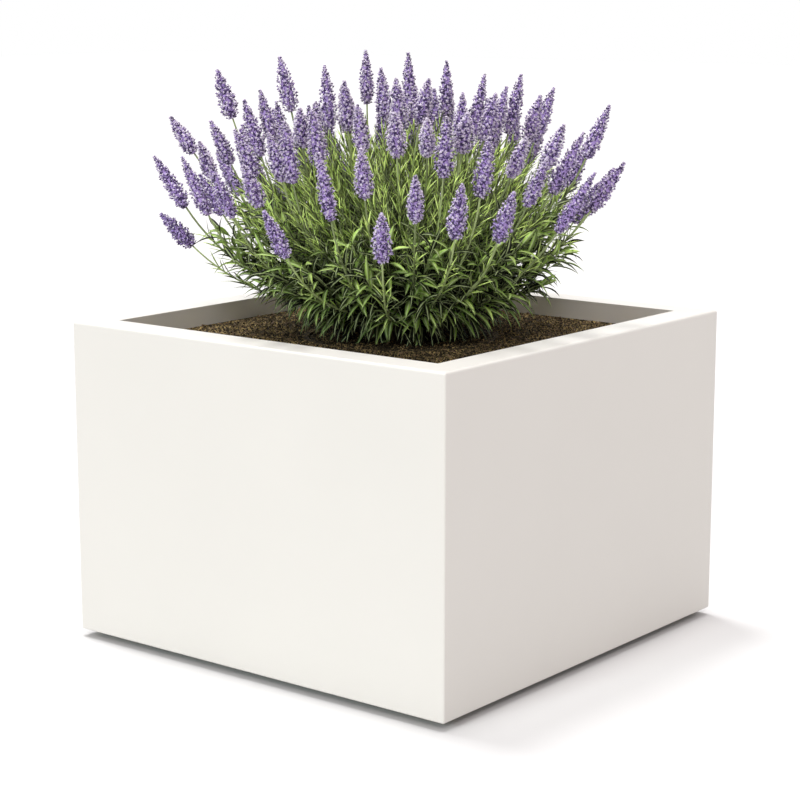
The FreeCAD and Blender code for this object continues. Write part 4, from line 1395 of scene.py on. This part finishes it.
@dataclass
class Crown:
    """The woody crown: a knobbly stock and the stubs that the shoots grow from.

    Attributes:
        foot: The height of its foot, in metres.
        top: The height of its top.
        radius: Its radius at the foot.
        top_radius: Its radius at the top.
        stubs: How many stubs it has.
    """

    foot: float = 0.3925
    top: float = 0.4185
    radius: float = 0.0395
    top_radius: float = 0.0585
    stubs: int = 46

    def build(self) -> None:
        """Build the stock and the stubs."""
        self.build_stock()
        self.build_stubs()

    def build_stock(self) -> None:
        """A low cone made knobbly."""
        bpy.ops.mesh.primitive_cone_add(
            vertices=64, radius1=self.radius, radius2=self.top_radius * 0.86, end_fill_type="TRIFAN",
            depth=self.top - self.foot - 0.006, location=(0, 0, (self.top + self.foot) / 2 - 0.003),
        )
        stock = modelled("crown_stock")
        cut_edges(stock, lambda low, high: True, 5)
        for vertex in stock.data.vertices:
            knob = noise.noise(vertex.co * 80) * 0.0035 + noise.noise(vertex.co * 240) * 0.0014
            away = Vector((vertex.co.x, vertex.co.y, 0))
            vertex.co += away.normalized() * (knob - 0.002) * min(away.length / 0.02, 1)
            if vertex.co.z > self.foot + 0.002:
                vertex.co.z += knob * 0.6 - 0.001
        bpy.ops.object.shade_smooth_by_angle(angle=math.radians(70))
        stock.data.materials.append(BARK.material())
        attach(stock, Body.PLANT)
        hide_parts("plant_crown")
        log.info("%s", stock.name)

    def build_stubs(self) -> None:
        """Short stubs that spread from the stock."""
        rod = Pattern.take(make_rod(7, 6))
        knobs = 1 + 0.12 * sway(numbered(len(rod.points)), 3)
        rod.points[:, :2] *= (1 - 0.4 * rod.points[:, 2:3]) * knobs[:, None]
        number = numbered(self.stubs)
        share = np.sqrt((number + 0.5) / self.stubs)
        outward = outward_at(number * GOLDEN_ANGLE)
        start = outward * (self.top_radius * 0.62 * share)[:, None] + UP * (self.foot + 0.004)
        heading = unit(between(UP, outward, 0.15 + 0.75 * share))
        length = np.minimum(0.024 + 0.004 * sway(number, 2), (self.top - self.foot - 0.004) / heading[:, 2])
        arcs = Arcs.leaving(start, heading, UP, 0.25 + 0.15 * sway(number, 4), length)
        sheaf = Sheaf("crown_stubs")
        placed = arcs.sweep(rod, 0.0042 + 0.0016 * sway(number, 5))
        sheaf.add(placed, rod.faces, {"tint": sway(number, 6)[:, None]})
        stubs = sheaf.make(BARK.material())
        face_outwards(stubs)
        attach(stubs, Body.PLANT)
        log.info("%s: %d", stubs.name, self.stubs)


@dataclass(frozen=True)
class LeafKind:
    """The leaves of one kind of shoot.

    Attributes:
        rings: How many rings of edges a leaf has between its foot and its tip.
        fullest: Where it is widest, as a share of its length.
        first: The share of a shoot's length at which its leaves begin.
        step: The distance between pairs, in metres.
        length: The length of a full leaf, in metres.
        half_width: Half its width.
        spread: The angle between shoot and leaf at the first pair and at the tip, in radians.
        young: How young the leaves look, from 0 to 1.
        bend: How much they bend, as a share of the most.
    """

    rings: int
    fullest: float
    first: float
    step: float
    length: float
    half_width: float
    spread: tuple[float, float]
    young: float
    bend: float


BROAD = LeafKind(5, 0.5, 0.22, 0.0118, 0.047, 0.0041, (0.82, 0.42), 0.45, 1.0)
NARROW = LeafKind(3, 0.45, 0.34, 0.0074, 0.034, 0.0014, (0.46, 0.2), 1.0, 0.4)
STEM_LEAF = LeafKind(3, 0.45, 0.12, 0.0090, 0.036, 0.0017, (0.72, 0.34), 0.9, 0.4)


@dataclass
class Foliage:
    """The mound of leaves: a low fan of long leaves and fine upright shoots above it.

    Attributes:
        crown: The height at which the shoots leave the crown, in metres.
        crown_radius: How wide they stand there.
        elevations: Steps of elevation, in degrees.
        reaches: How far the shoots reach at each step.
        wide_way: Which way the mound is widest, in degrees.
        wider: How much wider it is there than on average.
        low_shoots: How many shoots the fan has.
        high_shoots: How many shoots stand above it.
        high_from: The lowest elevation of those, in degrees.
        high_parts: How many pieces the upper leaves are split into.
        lying: The height at which leaves lie on the soil.
    """

    crown: float = 0.4125
    crown_radius: float = 0.046
    elevations: tuple[float, ...] = (-4, 0, 10, 22, 45, 90)
    reaches: tuple[float, ...] = (0.070, 0.086, 0.152, 0.258, 0.280, 0.264)
    wide_way: float = 38.0
    wider: float = 0.10
    low_shoots: int = 112
    high_shoots: int = 270
    high_from: float = 33.0
    high_parts: int = 2
    lying: float = 0.3965

    def build(self) -> None:
        """Build the low fan, then the upper shoots."""
        number = numbered(self.low_shoots)
        lift = np.radians(10 + 30 * ((number + 0.5) / self.low_shoots) ** 1.1 + 4 * sway(number, 1))
        low = self.shoots(number, lift, np.radians(9 + 3 * sway(number, 3)), 0.030, 11)
        self.leaf_piece("lower_leaves", low, BROAD, 0)
        self.shoot_piece("lower_shoots", low, 0.0011)
        number = numbered(self.high_shoots)
        lowest = math.sin(math.radians(self.high_from))
        lift = np.arcsin(lowest + (1 - lowest) * (number + 0.5) / self.high_shoots)
        high = self.shoots(number, lift, np.radians(8 + 3 * sway(number, 3)), 0.022, 57)
        for part in range(self.high_parts):
            some = high.some(number % self.high_parts == part)
            self.leaf_piece(f"upper_leaves_{part + 1}", some, NARROW, part + 1)
        self.shoot_piece("upper_shoots", high, 0.0009)

    def shoots(self, number: Array, lift: Array, steeper: Array, short: float, strand: float) -> Arcs:
        """The lines of the shoots, from the crown to the edge of the mound.

        Args:
            number: The numbers of the shoots.
            lift: Their elevations, in radians.
            steeper: How much steeper they end than they run, in radians.
            short: How far they stay inside the mound's edge, in metres.
            strand: Which numbers vary them.

        Returns:
            The arcs.
        """
        azimuth = number * GOLDEN_ANGLE + 0.08 * sway(number, strand)
        level = np.cos(lift)
        reach = np.interp(np.degrees(lift), self.elevations, self.reaches)
        reach *= 1 + self.wider * np.cos(2 * (azimuth - math.radians(self.wide_way))) * level**2
        reach = (reach - short) * (1 + 0.055 * sway(number, strand + 1))
        outward = outward_at(azimuth)
        centre = UP * self.crown
        foot = self.crown_radius * level * (0.55 + 0.4 * sway(number, strand + 2))
        start = centre + outward * foot[:, None]
        start[:, 2] -= 0.004
        end = centre + between(outward, UP, lift) * reach[:, None]
        sideways = np.cross(UP, outward) * (0.09 * sway(number, strand + 3))[:, None]
        return Arcs.arriving(start, end, unit(between(outward, UP, lift + steeper * level) + sideways))

    def shoot_piece(self, name: str, arcs: Arcs, radius: float) -> None:
        """The shoots themselves, as thin rods of a radius in metres at the foot."""
        rod = Pattern.take(make_rod(4, 7))
        rod.points[:, :2] *= 1 - 0.5 * rod.points[:, 2:3]
        number = numbered(len(arcs.start))
        placed = arcs.sweep(rod, radius * (1 + 0.25 * sway(number, 5)))
        sheaf = Sheaf(name)
        sheaf.add(placed, rod.faces, {"along": rod.points[:, 2][None], "tint": sway(number, 6)[:, None]})
        piece = sheaf.make(STEM.material())
        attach(piece, Body.PLANT)
        log.info("%s: %d", name, len(number))

    def leaf_piece(self, name: str, arcs: Arcs, kind: LeafKind, strand: float) -> None:
        """The leaves along the shoots, in opposite pairs, each pair turned against the last.

        Args:
            name: The piece's name.
            arcs: The lines of the shoots.
            kind: The kind of the leaves.
            strand: Which numbers vary them.
        """
        leafy = 1 - kind.first
        pairs = np.maximum((arcs.length * leafy / kind.step).astype(int), 2)
        whose = np.repeat(np.arange(len(pairs)), 2 * pairs)
        order = np.concatenate([np.repeat(np.arange(count), 2) for count in pairs])
        share = kind.first + leafy * (order + 0.35) / pairs[whose]
        number = numbered(len(whose)) + 4000 * strand
        lines = arcs.some(whose)
        share = np.clip(share + 0.006 * sway(number, 1), 0, 1)
        foot, ahead, away = (find(share[:, None])[:, 0] for find in (lines.at, lines.heading, lines.away))
        side = np.cross(ahead, away)
        second = np.arange(len(whose)) % 2
        angle = order * (math.pi / 2) + second * math.pi + 0.55 * sway(number, 2) + whose * 2.4
        across = between(away, side, angle)
        grown = np.clip((share - kind.first) / leafy, 0, 1)
        spread = kind.spread[0] + (kind.spread[1] - kind.spread[0]) * grown**0.8 + 0.14 * sway(number, 3)
        leaving = unit(between(ahead, across, spread))
        flatness = np.clip(1 - leaving[:, 2] ** 2, 0, 1)
        level = np.clip(1 - ahead[:, 2] * 1.15, 0.0, 1)
        towards = -UP * level[:, None] + across * (1 - level)[:, None] + 0.05 * side
        turn = (0.80 + 0.45 * level * flatness + 0.30 * sway(number, 4)) * kind.bend
        length = kind.length * (1 - 0.30 * grown**2) * (1 + 0.17 * sway(number, 5))
        half_width = kind.half_width * (1 - 0.25 * grown) * (1 + 0.15 * sway(number, 6))
        pattern = leaf_pattern(kind.rings, kind.fullest)
        leaves = Arcs.leaving(foot, leaving, towards, turn, length)
        placed = self.lay_on_soil(leaves.sweep(pattern, half_width))
        height = (foot[:, 2] - self.crown) / 0.25
        young = np.clip(kind.young * (0.35 + 0.5 * grown + 0.45 * height) + 0.16 * sway(number, 7), 0, 1)
        # A random tone for each leaf, with painted shade that darkens the leaves low on each shoot, inside
        # the mound.
        tint = sway(number, 8) * 0.8 - 0.9 * np.clip(0.75 - grown, 0, 1)
        sheaf = Sheaf(name)
        marks = {key: values[None] for key, values in pattern.marks.items()}
        sheaf.add(placed, pattern.faces, marks | {"tint": tint[:, None], "young": young[:, None]})
        piece = sheaf.make(LEAF.material())
        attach(piece, Body.PLANT)
        if name == "lower_leaves":
            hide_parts("foliage")
        log.info("%s: %d leaves, %d faces", name, len(whose), len(whose) * len(pattern.faces))

    def lay_on_soil(self, placed: Array) -> Array:
        """Let leaves that would sink into the soil lie on it."""
        height = placed[..., 2]
        placed[..., 2] = np.where(height < self.lying, self.lying + 0.12 * (self.lying - height), height)
        return placed


@dataclass
class Flowers:
    """The flowers: a stem for each, with leaves on its lower part, and its spike of florets.

    Attributes:
        crown_height: How far above the soil the lowest stems leave the crown, in metres.
        crown_spread: How much higher the stems of the highest flowers do.
        highest: How far above the soil those flowers reach.
        crown_reach: How far out the outermost stem leaves the crown.
        edge: The radius of the mound of leaves.
        into_spike: How far a stem runs into its spike.
        leafy: How much of a stem has leaves.
        stem_radius: The stem's radius.
        spike_radius: The spike's radius at its fullest, over the tips of the florets.
        fullest: Where it is fullest, as a share of its length.
        rounding: How far below that it would be closed, and how far above, as shares of its length.
        core: How full its core is, as a share of it.
        floret: The length of a floret.
        florets: How many florets a spike has.
        parts: How many pieces the spikes are split into.
    """

    crown_height: float = 0.028
    crown_spread: float = 0.024
    highest: float = 0.360
    crown_reach: float = 0.056
    edge: float = 0.234
    into_spike: float = 0.002
    leafy: float = 0.82
    stem_radius: float = 0.00145
    spike_radius: float = 0.0106
    fullest: float = 0.27
    rounding: tuple[float, float] = (0.31, 0.75)
    core: float = 0.70
    floret: float = 0.0057
    florets: int = 172
    parts: int = 4

    def build(self, foliage: Foliage) -> None:
        """Build the stems, their leaves and the spikes.

        Args:
            foliage: The mound, whose leaves the stems also carry.
        """
        feet, tips = self.read_spindles("flower_spikes")
        order = np.argsort(feet[:, 0])
        feet, tips = feet[order], tips[order]
        axis = unit(tips - feet)
        flat = feet * [1, 1, 0]
        share = np.minimum(np.linalg.norm(flat, axis=1) / self.edge, 1)
        start = unit(flat) * (self.crown_reach * share)[:, None]
        higher = self.crown_spread * (tips[:, 2] - SOIL_TOP) / self.highest
        start[:, 2] = SOIL_TOP + self.crown_height + higher
        arcs = Arcs.arriving(start, feet + axis * self.into_spike, axis)
        self.build_stems(arcs)
        leafy = Arcs(arcs.start, arcs.ahead, arcs.inward, arcs.turn * self.leafy, arcs.length * self.leafy)
        foliage.leaf_piece("stem_leaves", leafy, STEM_LEAF, 9)
        floret = floret_pattern()
        for part, some in enumerate(np.array_split(np.arange(len(feet)), self.parts)):
            self.build_spikes(feet[some], tips[some], floret, part)

    def read_spindles(self, node: str) -> tuple[Array, Array]:
        """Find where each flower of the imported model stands.

        Args:
            node: The node whose solids are one spindle for each flower.

        Returns:
            The spindles' feet and tips, (n, 3) each.
        """
        grid, end_depth, crown = 1e-7, 1e-4, [0, 0, 0.41]
        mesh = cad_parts[node].data
        points = np.empty(len(mesh.vertices) * 3)
        mesh.vertices.foreach_get("co", points)
        keys = np.round(points.reshape(-1, 3) / grid).astype(np.int64)
        places, number = np.unique(keys, axis=0, return_inverse=True)
        corners = np.empty(len(mesh.loops), dtype=np.int64)
        mesh.loops.foreach_get("vertex_index", corners)
        triangles = number.ravel()[corners].reshape(-1, 3)
        label, joined = None, np.arange(len(places))
        while not np.array_equal(joined, label):
            label, joined = joined, joined.copy()
            for corner in range(3):
                np.minimum.at(joined, triangles[:, corner], label[triangles].min(axis=1))
            joined = joined[joined]
        found = []
        for mark in np.unique(label):
            solid = places[label == mark] * grid
            middle = solid.mean(axis=0)
            along = (solid - middle) @ np.linalg.svd(solid - middle, full_matrices=False)[2][0]
            ends = (solid[along < along.min() + end_depth], solid[along > along.max() - end_depth])
            ends = (end.mean(axis=0) for end in ends)
            found.append(sorted(ends, key=lambda end: np.linalg.norm(end - crown)))
        feet, tips = np.array(found).transpose(1, 0, 2)
        return feet, tips

    def build_stems(self, arcs: Arcs) -> None:
        """The stems along some lines, each with a little bend of its own."""
        rod = Pattern.take(make_rod(5, 16))
        height = rod.points[:, 2]
        number = numbered(len(arcs.start))
        girth = self.stem_radius * (1 + 0.12 * sway(number, 5))[:, None] * (1.12 - 0.3 * height)[None]
        wave = np.sin(math.pi * height) * np.sin(5 * height)
        side = np.cross(arcs.ahead, arcs.inward)
        bend = 0.0022 * sway(number, 3)[:, None] * wave[None]
        placed = arcs.sweep(rod, girth) + side[:, None] * bend[..., None]
        marks = {"along": (0.15 + 0.85 * height)[None], "tint": sway(number, 6)[:, None]}
        sheaf = Sheaf("flower_stem_rods")
        sheaf.add(placed, rod.faces, marks)
        stems = sheaf.make(STEM.material())
        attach(stems, Body.PLANT)
        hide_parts("flower_stems")
        log.info("%s: %d", stems.name, len(number))

    def swell(self, share: Array) -> Array:
        """How full a spike is at a share of its length: rounded below, pointed above."""
        below, above = self.rounding
        low = np.sqrt(np.clip(1 - ((self.fullest - share) / below) ** 2, 0, 1))
        high = np.clip(1 - (np.clip(share - self.fullest, 0, 1) / above) ** 1.7, 0, 1) ** 0.9
        return np.where(share < self.fullest, low, high)

    def build_spikes(self, feet: Array, tips: Array, floret: Pattern, part: int) -> None:
        """Spikes of florets, set round a core by the golden angle.

        Args:
            feet: Where the spikes begin, (n, 3).
            tips: Where they end, (n, 3).
            floret: The floret.
            part: The number of this piece.
        """
        count = len(feet)
        axis = unit(tips - feet)
        length = np.linalg.norm(tips - feet, axis=1)
        first, second = square_to(axis)
        spike = np.repeat(np.arange(count), self.florets)
        place = np.tile(numbered(self.florets), count)
        number = numbered(len(spike)) + 7000 * part
        share = np.clip((place + 0.5) / self.florets + 0.012 * sway(number, 1), 0.004, 0.985)
        swell = self.swell(share)
        out = between(first[spike], second[spike], place * GOLDEN_ANGLE + spike * 1.7 + 0.3 * sway(number, 2))
        rise = np.radians(62 - 42 * share + 12 * sway(number, 3))
        heading = unit(between(axis[spike], out, rise))
        stout = 1 + 0.10 * sway(spike.astype(float) + 60 * part, 9)
        full = self.spike_radius * stout * swell * (1 + 0.15 * sway(number, 4))
        size = self.floret * (0.58 + 0.42 * swell) * (1 + 0.14 * sway(number, 5))
        reach = np.maximum(full - size * np.sin(rise) * 0.86, 0.0003)
        tall = size * np.cos(rise)
        along = np.minimum(share * length[spike] - tall * 0.5, length[spike] - tall * 0.95)
        foot = feet[spike] + axis[spike] * along[:, None] + out * reach[:, None]
        sheaf = Sheaf(f"flower_spikes_{part + 1}")
        tint = 0.9 * sway(number, 7) + 0.2 * sway(spike.astype(float) + 100 * part, 8)
        placed = floret.place(foot, heading, math.pi * sway(number, 6), size)
        sheaf.add(placed, floret.faces, {"lobe": floret.marks["lobe"][None], "tint": tint[:, None]})
        core = Pattern.take(make_rod(7, 6))
        width = self.core * self.swell(core.points[:, 2]) * self.spike_radius
        straight = Arcs.leaving(feet, axis, first, np.full(count, NEARLY_STRAIGHT), length * 0.97)
        placed = straight.sweep(core, np.broadcast_to(width, (count, len(width))))
        sheaf.add(placed, core.faces, {"lobe": np.zeros((count, 1)), "tint": np.zeros((count, 1))})
        spikes = sheaf.make(LILAC.material())
        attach(spikes, Body.PLANT)
        if part == 0:
            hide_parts("flower_spikes")
        log.info("%s: %d spikes", spikes.name, count)


# The planter's own parts


@dataclass
class Fittings:
    """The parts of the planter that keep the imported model's shape.

    Attributes:
        finishes: The finish of the nodes whose names start with each word.
    """

    finishes: dict[str, Finish] = field(
        default_factory=lambda: {
            "shell": GELCOAT, "base_panel": LAMINATE, "base_tabbing": LAMINATE, "base_rib": TIMBER,
            "rim_core": TIMBER, "foot_block": TIMBER, "foot_inserts": BRASS, "foot_stud": ZINC,
            "foot_pad": FOOT_PLASTIC, "drain_bush": DRAIN_PLASTIC, "drain_nut": DRAIN_PLASTIC,
            "drain_plug": DRAIN_PLASTIC, "drain_gasket": SEAL_RUBBER, "plug_seal": SEAL_RUBBER,
        }
    )

    def build(self) -> None:
        """Dress each node by the first words of its name."""
        for name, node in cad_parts.items():
            for start, finish in self.finishes.items():
                if name.startswith(start):
                    finish.wear(node)
                    log.info("%s: %s", name, finish.name)


@dataclass
class Studio:
    """The pale floor, the light and the camera.

    Attributes:
        floor_size: The width of the floor, in metres.
        camera_place: Where the camera stands.
        camera_down: How far it looks down, in degrees.
        camera_turn: How far it is turned about the vertical, in degrees.
        camera_lens: Its focal length for a sensor 36 mm wide, in millimetres.
        lights: For each light its name, which way it comes from, times its strength along each axis, how
            wide it looks from the object, in degrees, and its colour.
        light_distance: How many times that way each stands from the middle.
        sky: How bright the surroundings are.
        sky_tint: Their colour, except to the camera.
        floor_tone: How much light the floor throws back at the object.
        floor_seen: How pale the floor looks to the camera, at its darkest and at its lightest.
        floor_glow: How much white the floor shows to the camera alone.
    """

    floor_size: float = 40.0
    camera_place: Triple = (1.6803, -2.1230, 0.8327)
    camera_down: float = 10.979
    camera_turn: float = 38.383
    camera_lens: float = 94.271
    lights: tuple[tuple[str, Triple, float, Colour], ...] = (
        ("front_light", (-0.03, -0.23, 0.09), 12.0, (0.86, 1.0, 1.0)),
        ("left_light", (-0.11, 0.02, 0.36), 13.0, (1.0, 1.0, 1.0)),
        ("top_light", (0.0, 0.0, 0.28), 14.0, (1.0, 1.0, 1.0)),
        ("right_light", (0.085, -0.11, 0.10), 12.0, (1.0, 0.96, 0.96)),
    )
    light_distance: float = 6.0
    sky: float = 0.49
    sky_tint: Colour = (1.0, 0.925, 0.925)
    floor_tone: float = 0.66
    floor_seen: tuple[float, float] = (0.85, 0.87)
    floor_glow: float = 0.02

    def build(self) -> None:
        """Build all of it."""
        self.build_floor()
        self.build_sky()
        for name, side, softness, colour in self.lights:
            self.build_light(name, Vector(side), softness, colour)
        self.build_camera()

    def build_floor(self) -> None:
        """A floor that takes the object's shadow and is white elsewhere."""
        bpy.ops.mesh.primitive_plane_add(size=self.floor_size, location=(0, 0, 0))
        floor = bpy.context.object
        floor.name = "studio_floor"
        material = bpy.data.materials.new("studio_floor")
        material.use_nodes = True
        graph = Graph(material.node_tree)
        shader = material.node_tree.nodes["Principled BSDF"]
        seen = graph.node("LightPath").outputs["Is Camera Ray"]
        dark, light = ((tone,) * 3 for tone in self.floor_seen)
        seen_tone = graph.blend(graph.noise(graph.place(), 3.0, 2), dark, light)
        graph.put(shader.inputs["Base Color"], graph.blend(seen, (self.floor_tone,) * 3, seen_tone))
        shader.inputs["Roughness"].default_value = 0.9
        shader.inputs["Specular IOR Level"].default_value = 0.0
        shader.inputs["Emission Color"].default_value = (1, 1, 1, 1)
        graph.put(shader.inputs["Emission Strength"], graph.math("MULTIPLY", seen, self.floor_glow))
        floor.data.materials.append(material)

    def build_sky(self) -> None:
        """White to the camera, plain soft light to everything else."""
        world = bpy.data.worlds.new("studio_sky")
        bpy.context.scene.world = world
        world.use_nodes = True
        graph = Graph(world.node_tree)
        sky = world.node_tree.nodes["Background"]
        path = graph.node("LightPath").outputs
        seen = graph.math("MAXIMUM", path["Is Camera Ray"], path["Is Glossy Ray"])
        seen = graph.math("MAXIMUM", seen, path["Is Transmission Ray"])
        graph.put(sky.inputs["Color"], graph.blend(seen, self.sky_tint, (1.0, 1.0, 1.0)))
        graph.put(sky.inputs["Strength"], graph.span(seen, 0.0, 1.0, self.sky, 1.0))

    def build_light(self, name: str, side: Vector, softness: float, colour: Colour) -> None:
        """A wide soft light from far away.

        Args:
            name: The light's name.
            side: Which way it comes from, times its strength.
            softness: How wide it looks from the object, in degrees.
            colour: Its colour.
        """
        light = bpy.data.lights.new(name, "SUN")
        light.energy = side.length * math.pi
        light.angle = math.radians(softness)
        light.color = colour
        lamp = bpy.data.objects.new(name, light)
        bpy.context.collection.objects.link(lamp)
        lamp.location = side * self.light_distance
        lamp.rotation_euler = side.to_track_quat("Z", "Y").to_euler()

    def build_camera(self) -> None:
        """The camera of the photograph."""
        data = bpy.data.cameras.new("camera")
        data.sensor_width = 36
        data.lens = self.camera_lens
        data.clip_start = 0.05
        camera = bpy.data.objects.new("camera", data)
        bpy.context.collection.objects.link(camera)
        camera.location = self.camera_place
        camera.rotation_euler = (math.radians(90 - self.camera_down), 0, math.radians(self.camera_turn))
        bpy.context.scene.camera = camera


def main() -> None:
    """Build the studio, dress the planter and plant it."""
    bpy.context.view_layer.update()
    bpy.context.scene.view_settings.view_transform = "Standard"
    Studio().build()
    Fittings().build()
    Layers().build()
    Soil().build()
    RootBall().build()
    Crown().build()
    foliage = Foliage()
    foliage.build()
    Flowers().build(foliage)


if __name__ == "__main__":
    main()
